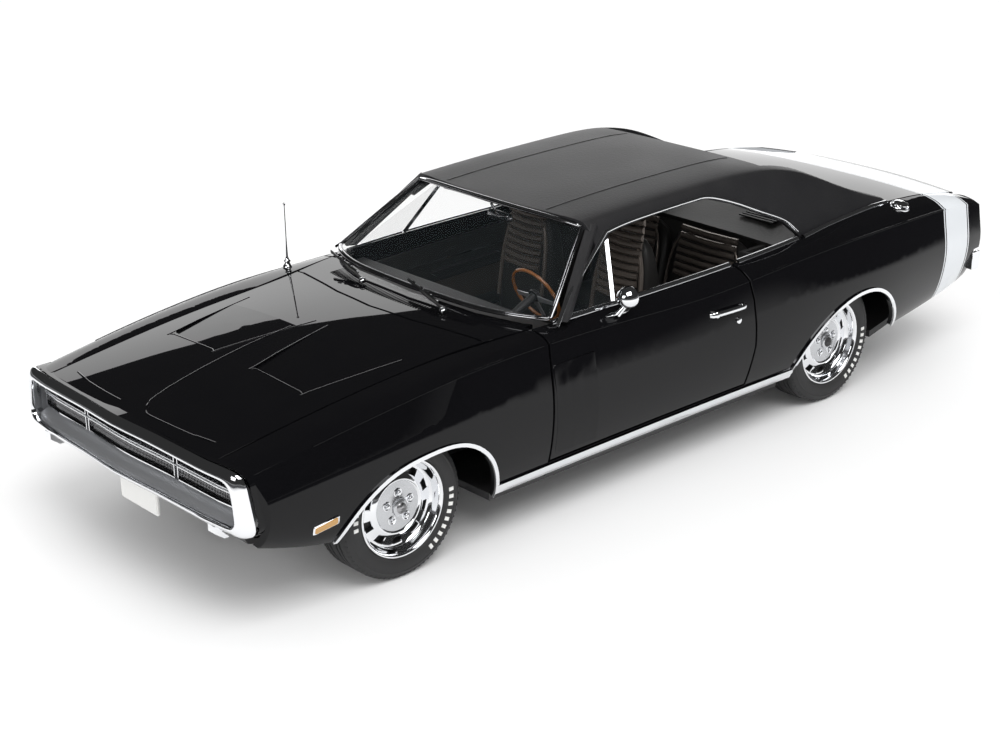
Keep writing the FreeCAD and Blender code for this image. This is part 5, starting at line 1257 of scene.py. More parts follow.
class MUSCLE_OT_fittings(bpy.types.Operator):
    """Fit handles, locks, mirror, caps, lamps, wipers, aerial, louvres and the hood's raised lines"""
    bl_idname = "muscle.fittings"
    bl_label = "Small Fittings"

    def execute(self, context):
        for side in SIDES:
            self.door_side(side)
        self.mirror()
        self.lamps()
        self.fuel_cap()
        self.aerial()
        self.wipers()
        self.cowl()
        self.hood_lines()
        return {"FINISHED"}

    def door_side(self, side):
        """Dress one door's fittings: vent post, handle and lock, and the raised plate behind the arch."""
        name = SIDE_NAMES[side]
        body = "door_" + name
        shape = Shape()
        fresh = shape.copy_node("door_fittings_" + name, "chrome")
        handle_faces = [face for face in fresh if face.calc_center_median().x < -5.0]
        bmesh.ops.delete(shape.mesh, geom=handle_faces, context="FACES")
        path, ups = [], []
        for x, rise in ((-11.8, 0.0), (-12.3, 0.7), (-13.2, 1.05), (-15.0, 1.15), (-20.0, 1.15), (-23.6, 1.05),
                        (-24.8, 0.7), (-25.3, 0.0)):
            point, normal = flank.beside(x, handle_z)
            path.append(point + normal * rise)
            ups.append(normal)
        oval = [(0.75 * cosine, 0.36 * sine) for cosine, sine in spokes(12)]
        shape.both_sides(smooth_path(path, 3), oval, "chrome", smooth_path(ups, 3), sides=(side,))
        for x, z, radius, reach in ((-13.6, handle_z, 1.0, 1.55), (-24.0, handle_z, 0.8, 0.8),
                                    (-22.3, 38.8, 0.95, 0.45)):
            point, normal = flank.beside(x, z)
            shape.turned([(radius, -0.3), (radius, reach * 0.7), (radius * 0.85, reach * 0.92),
                          (radius * 0.4, reach), (0, reach)], to_side(point, side), to_side(normal, side),
                         "chrome", 20)
        shape.make("door_fittings_" + name + "_bright", body, ("door_fittings_" + name,), smooth=40)
        raised = Shape()
        rings = []
        columns, levels, sunk = 10, 14, Vector((0, 0.2, 0))
        for i in range(levels + 1):
            z = plate_low_z + plate_tall * i / levels
            outer = []
            for k in range(columns + 1):
                x = plate_front_x - plate_long * k / columns - 0.25 * (z - 31.0) / 12.0
                point, normal = flank.beside(x, z)
                outer.append(point + normal * (0.12 + 0.42 * (k / columns)))
            inner = [flank.beside(point.x, z)[0] - sunk for point in reversed(outer)]
            rings.append([to_side(point, side) for point in outer + inner])
        raised.loft(rings, "paint")
        raised.make("door_plate_" + name, body, bevel=0.14, smooth=40)

    def mirror(self):
        """Build the round door mirror on its stem and foot."""
        low, high = box_mm("door_mirror")
        centre = Vector(((low.x + 20.7) / 2, (low.y + high.y) / 2, high.z - 3.0))
        shape = Shape()
        shape.turned([(0, -1.0), (2.5, -1.0), (2.55, -1.3), (2.85, -1.28), (3.0, -0.9), (2.98, -0.2), (2.8, 0.7),
                      (2.35, 1.7), (1.6, 2.5), (0.8, 2.95), (0, 3.1)], centre, (1, 0, 0), "chrome", 32)
        foot = Vector((21.8, 47.6, 50.4))
        shape.tube(foot, centre + Vector((0.6, 0, -2.0)), 0.85, "chrome", 16, end_radius=0.6)
        rings = []
        for k in range(9):
            t = k / 8
            swell = math.sin(math.pi * min(max(t, 0.04), 0.97))
            point, normal = shoulder.above(25.4 - 9.6 * t, 46.6)
            rings.append([point + Vector((0, 1.55 * swell ** 0.6 * math.cos(turn), 0))
                          + normal * (0.75 * swell ** 0.7 * math.sin(turn) - 0.1)
                          for turn in [math.pi * j / 8 for j in range(9)]])
        shape.loft(rings, "chrome")
        shape.make("door_mirror_bright", "door_left", ("door_mirror",), smooth=50)

    def lamps(self):
        """Build the amber side markers and the red tail lamps with their bright frames."""
        shape = Shape()
        for side in SIDES:
            for scale, rise, finish_name in ((1.0, 0.38, "chrome"), (0.88, 0.56, "amber")):
                half_long, half_high = 3.6 * scale, 1.05 * scale - 0.12 * (scale < 1)
                centre_x, centre_z, slant = 121.2, 24.1, -0.16
                outline = rounded(oblong(-half_long, -half_high, half_long, half_high), 0.35, 2)
                rings = []
                for lift, shrink in ((-0.25, 1.0), (rise * 0.6, 1.0), (rise, 0.93)):
                    ring = []
                    for a, b in outline:
                        point, normal = flank.beside(centre_x + a * shrink, centre_z + b * shrink + a * slant)
                        ring.append(to_side(point + normal * lift, side))
                    rings.append(ring)
                shape.loft(rings, finish_name)
        shape.make("amber_markers", "body", ("side_markers",), smooth=40)
        low, high = box_mm("tail_lamps")
        lamp_gap = 5.0
        tail = Shape()
        for side in SIDES:
            start, end = sorted((side * lamp_gap, side * high.y))
            outline = rounded(oblong(start, low.z, end, high.z), 1.6)
            inset = rounded(oblong(start + 1, low.z + 1, end - 1, high.z - 1), 1.0)
            rings = []
            for share, x in ((0, high.x), (0, low.x + 0.4), (0.3, low.x + 0.05), (0.7, low.x + 0.05),
                             (1, low.x + 0.5), (1, high.x)):
                rings.append([(x, a[0] + (b[0] - a[0]) * share, a[1] + (b[1] - a[1]) * share)
                              for a, b in zip(outline, inset)])
            tail.loft(rings, "dark_chrome")
            tail.plate(inset, "YZ", high.x - 0.3, low.x + 0.95, "red_lens")
        tail.make("tail_lamp_frames", "body", ("tail_lamps",), bevel=0.08, smooth=40)
        for side in SIDES:
            rib = Shape()
            rib.loft([[(0, end, -0.16), (0, end, 0.16), (-0.28, end, 0)] for end in (-15.6, 15.6)], "red_lens")
            repeated("lens_ribs_" + SIDE_NAMES[side], rib, "red_lens", "body", 9,
                     step=(0, 0, 0.62), centre=(low.x + 0.95, side * (lamp_gap + high.y) / 2, low.z + 1.35))

    def fuel_cap(self):
        """Build the bright filler cap with its ring of lugs."""
        centre, normal = shoulder.above(-104.8, 44.0)
        shape = Shape()
        shape.turned([(3.1, -0.4), (3.1, 0.25), (2.9, 0.5), (2.45, 0.55), (2.3, 0.75), (2.25, 1.1), (1.9, 1.35),
                      (1.2, 1.5), (0, 1.55)], centre, normal, "chrome", 40)
        beside, above = square_to(normal)
        for cosine, sine in spokes(6):
            out = beside * cosine + above * sine
            shape.tube(centre + out * 1.3 + normal * 1.1, centre + out * 2.75 + normal * 0.75, 0.38, "chrome", 8,
                       end_radius=0.3)
        shape.make("fuel_cap_bright", "body", ("fuel_cap",), smooth=45)

    def aerial(self):
        """Build the aerial: a stepped foot, a mast and a tip bead."""
        low, high = box_mm("antenna")
        centre = Vector(((low.x + high.x) / 2, (low.y + high.y) / 2, low.z))
        tip = high.z - low.z
        shape = Shape()
        shape.turned([(1.35, -0.2), (1.35, 0.5), (1.1, 0.75), (0.85, 1.1), (0.7, 1.6), (0.95, 1.8), (0.95, 2.1),
                      (0.6, 2.4), (0.42, 3.0), (0.32, 3.4), (0.20, 9.0), (0.17, tip - 0.8), (0.36, tip - 0.62),
                      (0.42, tip - 0.35), (0.25, tip - 0.05), (0, tip)], centre, UP, "chrome", 16)
        shape.make("aerial", "body", ("antenna",), smooth=50)

    def wipers(self):
        """Build the two wiper arms with their blades lying at the foot of the glass."""
        shape = Shape()
        for y in (18.9, -15.1):
            foot = Vector((57.4, y, 53.4))
            tip = Vector((52.7, y - 20.0, 55.9))
            shape.turned([(1.0, -0.6), (1.0, 0.1), (0.75, 0.4), (0.35, 0.6), (0, 0.62)], foot, (0.25, 0, 1),
                         "chrome", 16)
            bend = foot.lerp(tip, 0.35) + Vector((0.4, 0, 0.25))
            arm = smooth_path([foot, foot.lerp(bend, 0.5) + Vector((0, 0, 0.25)), bend, foot.lerp(tip, 0.62)], 4)
            shape.sweep(arm, rectangle(0.75, 0.4), "satin_black")
            start = foot.lerp(tip, 0.22) + Vector((-1.1, 0, 0.0))
            end = foot.lerp(tip, 1.0)
            blade = [start.lerp(end, k / 8) + Vector((0.25 * math.sin(math.pi * k / 8), 0, 0)) for k in range(9)]
            shape.sweep(blade, rectangle(0.42, 0.7), "satin_black")
            shape.sweep([point + Vector((0.1, 0, 0.42)) for point in blade], rectangle(0.3, 0.12), "dark_chrome")
            for share in (0.25, 0.5, 0.75):
                joint, ahead = start.lerp(end, share) + Vector((0.25, 0, 0.75)), (end - start).normalized()
                shape.sweep([joint - ahead, joint + ahead], rectangle(0.5, 0.3), "dark_chrome")
        shape.make("wiper_arms", "body", ("wipers",), bevel=0.05, smooth=40)

    def cowl(self):
        """Build the fine louvres of the air intake in front of the glass."""
        rib = Shape()
        rib.loft([[(-2.6, -0.13, 0), (2.4, -0.13, 0), (2.4, 0.13, 0), (-2.6, 0.13, 0)],
                  [(-2.5, -0.04, 0.16), (2.3, -0.04, 0.16), (2.3, 0.04, 0.16), (-2.5, 0.04, 0.16)]], "paint")
        path = [hood_skin.above(57.8 - 4.6 * (y / 36.0) ** 2, y)[0] - Vector((0, 0, 0.02))
                for y in np.linspace(-30.0, 30.0, 25)]
        strung("cowl_louvres", rib, path, "paint", "body", 62)

    def hood_lines(self):
        """Build the fine raised lines that the hood's pressing shows."""
        lines = Shape()
        spine = [(138.6, 3.4), (134.5, 0.4), (125.0, -1.6), (112.0, -3.2), (100.0, -4.2), (89.0, -4.8)]
        lip = [(138.0, 4.0), (139.9, 6.0), (139.6, 14.0), (138.6, 24.0), (137.2, 31.0)]
        recess = [(82.6, 32.9), (109.0, 29.3), (110.2, 27.6), (110.3, 9.8), (109.2, 8.0), (82.6, 2.6)]
        for line, steps in ((spine, 6), (lip, 6), ([(x, -y) for x, y in lip[1:]], 6), (recess, 3),
                            ([(x, -y) for x, y in recess], 3)):
            smooth = smooth_path([(x, y, 0) for x, y in line], steps)
            path, ups = along_skin(hood_skin.above, [(point.x, point.y) for point in smooth])
            lines.sweep(path, half_round(0.55, 0.14, 4), "paint", up=ups)
        lines.make("hood_lines", "hood", smooth=60)


# Cabin
seat_offset, seat_half = 19.46, 10.6
bench_offset = 15.9
back_pleats_low, back_pleats_high = 31.5, 53.2
wheel_middle, wheel_tilt, wheel_ring = (24.7, 19.46, 49.74), math.radians(24.0), 8.4


class MUSCLE_OT_cabin(bpy.types.Operator):
    """Build the seats with their pleats, the bench, the fascia, the wood-rimmed wheel and the door trims"""
    bl_idname = "muscle.cabin"
    bl_label = "Cabin"

    def execute(self, context):
        carry_over("cabin_tub", "carpet")
        for side in SIDES:
            self.front_seat(side)
        self.bench()
        self.fascia()
        self.steering_wheel()
        self.console()
        self.small_things()
        for side in SIDES:
            self.door_trim(side)
        return {"FINISHED"}

    def pad(self, shape, spine, ups, halves, thicks, y_middle, finish_name, power=0.42, crown=0.0, steps=28):
        """Loft a moulded pad: rounded oblong rings along a spine of (x, z), crowned across their faces."""
        rings = []
        for (x, z), up, half, thick in zip(spine, ups, halves, thicks):
            up = Vector((up[0], 0, up[1])).normalized()
            ring = []
            for cosine, sine in spokes(steps):
                across = half * math.copysign(abs(cosine) ** power, cosine)
                lift = thick * math.copysign(abs(sine) ** power, sine)
                if abs(sine) > 0.01:
                    lift += crown * math.copysign(1 - (across / half) ** 2, sine)
                ring.append(Vector((x, y_middle + across, z)) + up * lift)
            rings.append(ring)
        shape.loft(rings, finish_name)

    def front_seat(self, side):
        """Build one bucket seat: base, cushion, high back, side strips and cross pleats."""
        name = SIDE_NAMES[side]
        middle = side * seat_offset
        shape = Shape()
        shape.plate(rounded([(-14.6, 14.7), (19.2, 14.7), (19.9, 21.0), (-15.8, 21.0)], 1.5), "XZ",
                    middle - 8.6, middle + 8.6, "satin_black")
        self.pad(shape, [(19.9, 26.2), (19.0, 26.0), (15.0, 25.6), (6.0, 24.8), (-3.0, 24.0), (-9.0, 23.6),
                         (-15.6, 24.4)], [(0, 1)] * 7, [8.6, 9.8, seat_half, seat_half, seat_half, seat_half, 9.6],
                 [2.2, 3.0, 3.7, 3.5, 3.1, 3.6, 3.6], middle, "cabin_black", crown=-0.5)
        lean = Vector((32.5, 5.9)).normalized()
        spine = [(-10.3, 25.0), (-10.4, 28.0), (-10.6, 34.0), (-10.9, 41.0), (-11.0, 48.0), (-11.1, 53.0),
                 (-11.2, 56.6), (-11.3, 58.6), (-11.4, 59.6)]
        self.pad(shape, spine, [lean] * 9, [9.6, 10.4, seat_half, seat_half, 10.3, 9.6, 8.2, 6.2, 3.2],
                 [6.2, 6.6, 5.6, 4.5, 3.4, 2.7, 2.2, 1.6, 0.5], middle, "cabin_black", crown=-0.35)
        for edge in SIDES:
            strip = [(-4.6, 31.0), (-5.9, 38.0), (-7.1, 45.0), (-8.2, 51.0), (-8.9, 55.6)]
            width = (8.9, 9.2, 8.9, 8.0, 6.6)
            path = smooth_path([(x, middle + edge * w, z) for (x, z), w in zip(strip, width)], 4)
            shape.sweep(path, half_round(1.7, 0.7, 5), "pleats", up=(1, 0, 0.18))
        bow = smooth_path([(-9.0, middle - 6.4, 55.8), (-9.4, middle - 3.8, 57.6), (-9.5, middle, 58.1),
                           (-9.4, middle + 3.8, 57.6), (-9.0, middle + 6.4, 55.8)], 4)
        shape.sweep(bow, half_round(1.0, 0.5, 5), "pleats", up=(1, 0, 0.6))
        shape.make("front_seat_" + name, "body",
                   ("front_seats",) if side > 0 else (), smooth=50)
        cabin = settings("cabin")
        pleat = Shape()
        pleat.sweep([(0.0, -7.3, 0.0), (0.25, -5.0, -0.25), (0.35, 0.0, -0.5), (0.25, 5.0, -0.25), (0.0, 7.3, 0.0)],
                    half_round(2.0, 1.15, 5), "pleats", up=(1, 0, 0.18))
        rise = (back_pleats_high - back_pleats_low) / (cabin.pleats - 1)
        repeated("back_pleats_" + name, pleat, "pleats", "body", cabin.pleats,
                 step=(-0.182 * rise, 0, rise), centre=(-6.55, middle, (back_pleats_low + back_pleats_high) / 2))
        flat = Shape()
        flat.sweep([(0.0, -7.6, 0.1), (0.2, -4.0, -0.1), (0.3, 0.0, -0.15), (0.2, 4.0, -0.1), (0.0, 7.6, 0.1)],
                   half_round(1.9, 0.9, 5), "pleats")
        run = 17.4 / (cabin.pleats - 3)
        repeated("cushion_pleats_" + name, flat, "pleats", "body", cabin.pleats - 2,
                 step=(run, 0, 0.108 * run), centre=(7.4, middle, 28.3))

    def bench(self):
        """Build the rear bench as two moulded places with their pleats."""
        shape = Shape()
        shape.plate(rounded([(-53.9, 14.7), (-26.7, 14.7), (-26.0, 21.0), (-53.9, 21.0)], 1.0), "XZ", -31.4, 31.4,
                    "satin_black")
        for side in SIDES:
            middle = side * bench_offset
            self.pad(shape, [(-25.4, 24.0), (-26.4, 24.0), (-31.0, 24.0), (-38.0, 23.6), (-46.0, 23.2)],
                     [(0, 1)] * 5, [14.0, 15.0, 15.6, 15.6, 15.4], [2.2, 2.9, 3.3, 3.2, 3.0], middle,
                     "cabin_black", crown=-0.4)
            lean = Vector((25.0, 6.4)).normalized()
            self.pad(shape, [(-48.4, 24.6), (-49.0, 30.0), (-50.0, 37.0), (-51.0, 43.0), (-51.8, 47.0), (-52.1, 49.0)],
                     [lean] * 6, [15.2, 15.6, 15.6, 15.2, 13.6, 10.0], [3.6, 3.4, 2.6, 2.0, 1.5, 0.7], middle,
                     "cabin_black", crown=0.4)
            bow = [(-44.6, -13.6, 29.0), (-46.4, -13.4, 38.0), (-48.2, -12.2, 44.6), (-49.4, -8.6, 48.2)]
            bow = bow + [(-49.7, 0.0, 49.3)] + [(x, -y, z) for x, y, z in reversed(bow)]
            shape.sweep(smooth_path([(x, middle + y, z) for x, y, z in bow], 4), half_round(0.8, 0.45, 5), "pleats",
                        up=(1, 0, 0.3))
        shape.make("rear_bench_moulded", "body", ("rear_bench",), smooth=50)
        pleats = settings("cabin").pleats - 4
        for side in SIDES:
            pleat = Shape()
            pleat.sweep([(0.0, -11.0, 0.0), (0.2, -6.0, -0.1), (0.3, 0.0, -0.2), (0.2, 6.0, -0.1), (0.0, 11.0, 0.0)],
                        half_round(1.9, 0.9, 5), "pleats", up=(1, 0, 0.26))
            repeated("bench_pleats_" + SIDE_NAMES[side], pleat, "pleats", "body", pleats,
                     step=(-0.55, 0, 2.2), centre=(-46.6, side * bench_offset, 36.5))

    def fascia(self):
        """Build the dials, the glove box lid, the switches and the trim panels on the carried-over fascia."""
        carry_over("dashboard", "satin_black")
        shape = Shape()
        face = Vector((-0.989, 0, 0.148))

        def on_face(y, z, out=0.0):
            """Return the point of the leaning face at a place, or a little in front of it."""
            return Vector((35.95 + (47.9 - z) * 0.145, y, z)) + face * out

        for y_from, y_to, z_from, z_to, out, finish_name in (
                (5.0, 33.0, 40.6, 47.2, 0.35, "dial_face"), (5.0, 33.0, 47.2, 47.6, 0.5, "chrome"),
                (5.0, 33.0, 40.2, 40.6, 0.5, "chrome"), (-33.0, 3.6, 46.4, 46.8, 0.4, "chrome"),
                (-31.0, -9.0, 40.8, 45.9, 0.3, "wood"), (-7.5, 3.2, 41.2, 45.6, 0.3, "brushed")):
            shape.loft([[on_face(y, z, reach)
                         for y, z in oblong(y_from + shrink, z_from + shrink, y_to - shrink, z_to - shrink)]
                        for reach, shrink in ((-0.4, 0.0), (out * 0.7, 0.0), (out, 0.16))], finish_name)
        for y, radius in ((28.4, 2.2), (22.6, 2.7), (15.8, 2.7), (9.6, 2.2)):
            centre = on_face(y, 43.9, 0.3)
            shape.turned([(radius, 0.0), (radius, 0.45), (radius * 0.86, 0.55), (radius * 0.80, 0.25), (0, 0.25)],
                         centre, face, "chrome", 28)
            shape.turned([(radius * 0.80, 0.2), (radius * 0.80, 0.3), (0, 0.3)], centre, face, "dial_face", 28)
            needle = Vector((0, 0.6, 0.8)) * radius * 0.6
            shape.tube(centre + face * 0.34, centre + face * 0.34 + needle, 0.09, "amber", 6, end_radius=0.04)
            for k in range(9):
                turn = math.radians(-40 + 260 * k / 8)
                mark = Vector((0, math.cos(turn), math.sin(turn)))
                shape.tube(centre + face * 0.31 + mark * radius * 0.62, centre + face * 0.31 + mark * radius * 0.74,
                           0.06, "white_rubber", 5)
        for y in (-5.6, -3.4, -1.2, 1.0):
            shape.turned([(0.55, 0), (0.55, 0.5), (0.4, 0.75), (0, 0.8)], on_face(y, 42.4, 0.3), face, "chrome", 14)
        shape.turned([(0.6, 0), (0.6, 0.4), (0.4, 0.6), (0, 0.6)], on_face(-20.0, 45.0, 0.3), face, "chrome", 14)
        shape.make("fascia_fittings", "body", smooth=40)

    def steering_wheel(self):
        """Build the wheel: a wooden rim with finger grips, three drilled spokes, a hub and the column."""
        centre = Vector(wheel_middle)
        axis = Vector((math.cos(wheel_tilt), 0, -math.sin(wheel_tilt)))
        above = Vector((math.sin(wheel_tilt), 0, math.cos(wheel_tilt)))
        beside = Vector((0, 1, 0))
        shape = Shape()
        rings = []
        turns, sides = 72, 10
        for k in range(turns):
            turn = 2 * math.pi * k / turns
            out = beside * math.cos(turn) + above * math.sin(turn)
            thick = 0.48 + 0.05 * math.cos(18 * turn)
            rings.append([centre + out * (wheel_ring - 0.1 + thick * cosine) + axis * thick * sine
                          for cosine, sine in spokes(sides)])
        shape.loft(rings, "wood", closed=True)
        for degrees in (-10.0, 190.0, 270.0):
            turn = math.radians(degrees)
            out = beside * math.cos(turn) + above * math.sin(turn)
            flat = axis.cross(out)
            rings = []
            for reach, half, dish in ((1.6, 1.1, 0.9), (3.4, 0.8, 0.6), (5.6, 0.66, 0.25), (8.1, 0.8, 0.0)):
                middle = centre + out * reach + axis * dish
                rings.append([middle + flat * half + axis * 0.16, middle - flat * half + axis * 0.16,
                              middle - flat * half - axis * 0.16, middle + flat * half - axis * 0.16])
            shape.loft(rings, "brushed")
            for reach in (3.6, 4.9, 6.2):
                hole = centre + out * reach + axis * (0.62 - reach * 0.1)
                shape.turned([(0.34, -0.2), (0.34, 0.2), (0, 0.2)], hole, -axis, "satin_black", 12)
        shape.turned([(2.0, 0.9), (2.0, 0.2), (1.7, -0.25), (1.0, -0.45), (0, -0.5)], centre, axis, "satin_black", 28)
        shape.turned([(0.9, -0.4), (0.85, -0.62), (0.5, -0.7), (0, -0.72)], centre, axis, "chrome", 20)
        shape.tube(centre + axis * 0.6, centre + axis * 11.0, 1.25, "satin_black", 20)
        shape.make("wood_wheel", "body", ("steering_wheel",), smooth=45)

    def console(self):
        """Dress the console: brushed top, gate, shift lever with a wooden knob, and tray."""
        carry_over("console", "cabin_black")
        shape = Shape()
        shape.plate(rounded(oblong(-4.6, -3.1, 34.0, 3.1), 0.8), "XY", 24.0, 24.45, "brushed")
        shape.plate(rounded(oblong(13.0, -1.5, 25.0, 1.5), 0.5), "XY", 24.4, 24.75, "satin_black")
        shape.tube((20.0, 0, 24.5), (18.6, 0, 30.6), 0.42, "chrome", 12, end_radius=0.34)
        shape.turned([(0.5, -0.9), (0.95, -0.6), (1.25, 0.0), (1.15, 0.8), (0.7, 1.3), (0, 1.45)], (18.5, 0, 31.2),
                     (-0.2, 0, 1), "wood", 20)
        for k in range(5):
            shape.block((6.0 + 0.9 * k, -2.2, 24.4), (6.4 + 0.9 * k, 2.2, 24.7), "satin_black")
        shape.make("console_top", "body", bevel=0.06, smooth=40)

    def small_things(self):
        """Hang the inside mirror and the visors, and set the pedals."""
        shape = Shape()
        mirror_z = 67.0
        back, glass = rounded(rectangle(9.4, 2.3), 0.9, 4), rounded(rectangle(8.6, 1.7), 0.7, 4)
        shape.loft([[(x, y * grow, mirror_z + z * grow) for y, z in back]
                    for x, grow in ((19.4, 0.93), (19.5, 1.0), (20.3, 1.0), (20.9, 0.86), (21.1, 0.5))], "dark_chrome")
        shape.loft([[(x, y, mirror_z + z) for y, z in glass] for x in (19.5, 19.3)], "chrome")
        shape.tube((20.9, 0, 67.3), (23.2, 0, 71.2), 0.4, "chrome", 12)
        for middle in (17.0, -17.0):
            outline = rounded(oblong(12.6, middle - 8.0, 19.9, middle + 8.0), 1.2)
            rings = []
            for lift, grow in ((0.0, 0.96), (0.2, 1.0), (0.8, 1.0), (1.0, 0.96)):
                rings.append([(16.2 + (x - 16.2) * grow, middle + (y - middle) * grow,
                               71.0 + lift - 0.10 * (x - 12.6) - 0.0045 * abs(y) ** 1.45) for x, y in outline])
            shape.loft(rings, "cabin_black")
        for y in (13.0, 19.5):
            shape.loft([[(near, y - 1.5, top), (near, y + 1.5, top), (far, y + 1.5, foot), (far, y - 1.5, foot)]
                        for near, far, top, foot in ((39.6, 40.4, 19.6, 19.4), (41.0, 41.7, 22.6, 22.3))], "rubber")
            shape.tube((41.4, y, 21.4), (45.4, y, 38.6), 0.4, "satin_black", 10)
        shape.make("mirror_visors_pedals", "body", bevel=0.05, smooth=45)

    def door_trim(self, side):
        """Line one door with its moulded trim, arm rest, window winder and pull."""
        name = SIDE_NAMES[side]
        shape = Shape()
        lining_y = 41.55
        for outline, depth, finish_name in (
                (rounded([(-23.5, 23.5), (33.5, 22.5), (35.0, 46.6), (-23.5, 48.2)], 1.5), 0.75, "cabin_black"),
                (rounded([(-19.0, 27.0), (29.0, 26.5), (30.0, 35.0), (-19.0, 36.0)], 1.2), 1.1, "pleats"),
                (rounded([(-15.0, 37.4), (10.0, 37.0), (13.0, 39.0), (-15.0, 39.8)], 0.8), 2.6, "satin_black"),
                ([(-22.0, 41.9), (32.0, 41.5), (32.0, 42.0), (-22.0, 42.4)], 1.0, "chrome")):
            low, high = sorted((side * lining_y, side * (lining_y - depth)))
            shape.plate(outline, "XZ", low, high, finish_name)
        centre = Vector((20.0, side * 40.9, 33.0))
        inward = Vector((0, -side, 0))
        shape.turned([(1.0, -0.2), (1.0, 0.5), (0.7, 0.8), (0, 0.85)], centre, inward, "chrome", 18)
        shape.tube(centre + inward * 0.6, centre + inward * 0.9 + Vector((-3.2, 0, 1.8)), 0.32, "chrome", 10)
        shape.turned([(0.5, 0.0), (0.55, 0.7), (0.3, 1.2), (0, 1.25)], centre + inward * 0.9 + Vector((-3.2, 0, 1.8)),
                     inward, "satin_black", 14)
        shape.tube((2.0, side * 40.7, 44.6), (6.5, side * 40.5, 44.3), 0.35, "chrome", 10)
        shape.make("door_trim_" + name, "door_" + name, bevel=0.12, smooth=40)


# Engine bay, underside and tail
class MUSCLE_OT_mechanics(bpy.types.Operator):
    """Dress the engine bay and the underside"""
    bl_idname = "muscle.mechanics"
    bl_label = "Engine and Underside"

    def execute(self, context):
        for node, finish_name in (
                ("engine_bay", "satin_black"), ("base_plate", "undercoat"), ("driveline", "steel"),
                ("exhaust", "steel"), ("front_crossmember", "undercoat"), ("fuel_tank", "steel"),
                ("hinge_pins", "steel"), ("hood_hinges", "satin_black"), ("lid_hinges", "satin_black"),
                ("knuckle_left", "steel"), ("knuckle_right", "steel"), ("rear_axle", "undercoat"),
                ("trunk_floor", "carpet"), ("engine", "engine_enamel")):
            carry_over(node, finish_name)
        self.air_cleaner()
        self.covers()
        self.radiator()
        self.bay_fittings()
        self.exhaust_tips()
        return {"FINISHED"}

    def air_cleaner(self):
        """Build the round air cleaner with its pleated element and bright lid."""
        low, high = box_mm("air_cleaner")
        centre = ((low.x + high.x) / 2, 0.0, low.z)
        top = high.z - low.z
        shape = Shape()
        shape.turned([(0, 0.0), (8.6, 0.0), (9.4, 0.25), (9.5, 0.5), (9.4, 0.8), (8.9, 0.9), (8.9, 1.0)], centre,
                     UP, "satin_black", 56)
        shape.turned([(8.7, 0.9), (8.7, 2.4), (0, 2.4)], centre, UP, "white_rubber", 56)
        shape.turned([(9.0, 2.35), (9.4, 2.45), (9.45, 2.7), (9.2, 3.0), (8.2, 3.15), (6.8, 3.2), (6.5, 3.0),
                      (3.0, 2.95), (2.8, 3.15), (0, 3.2)], centre, UP, "chrome", 56)
        shape.turned([(0.5, 3.1), (0.5, 3.35), (0.25, top - 0.1), (0, top)], centre, UP, "steel", 12)
        shape.make("air_cleaner_bright", "body", ("air_cleaner",), smooth=40)
        fold = Shape()
        fold.block((8.6, -0.12, -0.7), (8.95, 0.12, 0.7), "white_rubber")
        folds = 60
        repeated("air_element", fold, "white_rubber", "body", folds, turn=2 * math.pi / folds,
                 axis=UP, centre=(centre[0], 0.0, low.z + 1.65))

    def covers(self):
        """Build the two valve covers, their leads and the round cap at their front."""
        shape = Shape()
        for side in SIDES:
            rings = []
            for x, grow in ((78.0, 0.9), (78.6, 1.0), (103.4, 1.0), (104.0, 0.9)):
                ring = []
                for a, b in rounded([(-2.6, -1.3), (2.6, -1.3), (2.3, 1.4), (-2.3, 1.4)], 0.7, 3):
                    lean = math.radians(28.0) * side
                    a, b = a * grow, b * grow
                    ring.append((x, side * 10.6 + a * math.cos(lean) + b * math.sin(lean),
                                 35.1 + b * math.cos(lean) - a * math.sin(lean)))
                rings.append(ring)
            shape.loft(rings, "satin_black")
            for k in range(4):
                x = 81.5 + 6.4 * k
                start = Vector((x, side * 9.4, 36.4))
                lead = smooth_path([start, start + Vector((1.5, side * 1.6, 0.9)),
                                    Vector((100.0, side * (3.0 + k), 38.2)),
                                    Vector((104.6, side * (0.6 + 0.5 * k), 36.8))], 5)
                shape.sweep(lead, circle(0.22, 6), "rubber")
        shape.turned([(1.9, -1.0), (1.9, 1.4), (1.5, 1.7), (0, 1.8)], (105.4, 0, 35.6), UP, "satin_black", 24)
        shape.make("valve_covers", "body", bevel=0.08, smooth=40)

    def radiator(self):
        """Build the radiator with its tanks and fins, and the fan in front of the engine."""
        shape = Shape()
        for front, rear, half, low, high, finish_name in (
                (117.4, 118.2, 20.5, 19.5, 37.6, "steel"), (116.8, 119.0, 21.0, 37.4, 39.6, "satin_black"),
                (116.8, 119.0, 21.0, 18.2, 19.8, "satin_black")):
            shape.block((front, -half, low), (rear, half, high), finish_name)
        shape.turned([(1.2, 0), (1.2, 0.7), (0.9, 1.0), (0, 1.05)], (118.0, -12.0, 39.6), UP, "chrome", 18)
        hose = smooth_path([(117.0, 10.0, 38.4), (114.0, 9.0, 38.6), (110.6, 5.0, 37.4), (109.0, 2.5, 35.0)], 5)
        shape.sweep(hose, circle(0.85, 12), "rubber")
        shape.tube((111.2, 0, 28.0), (113.4, 0, 28.0), 2.4, "steel", 24)
        hub, thick = Vector((113.2, 0, 28.0)), Vector((0.25, 0, 0))
        for cosine, sine in spokes(5):
            rings = []
            for reach, grow in ((2.0, 0.6), (7.6, 1.0)):
                root = hub + Vector((0, cosine, sine)) * reach
                half = Vector((0.5, -sine * 1.5, cosine * 1.5)) * grow
                rings.append([root + half, root - half, root - half + thick, root + half + thick])
            shape.loft(rings, "steel")
        shape.make("radiator_and_fan", "body", bevel=0.05, smooth=40)
        fin = Shape()
        fin.block((-0.2, -0.11, -8.7), (0.2, 0.11, 8.7), "satin_black")
        repeated("radiator_fins", fin, "satin_black", "body", 60, step=(0, 0.67, 0),
                 centre=(117.2, 0.0, 28.6))

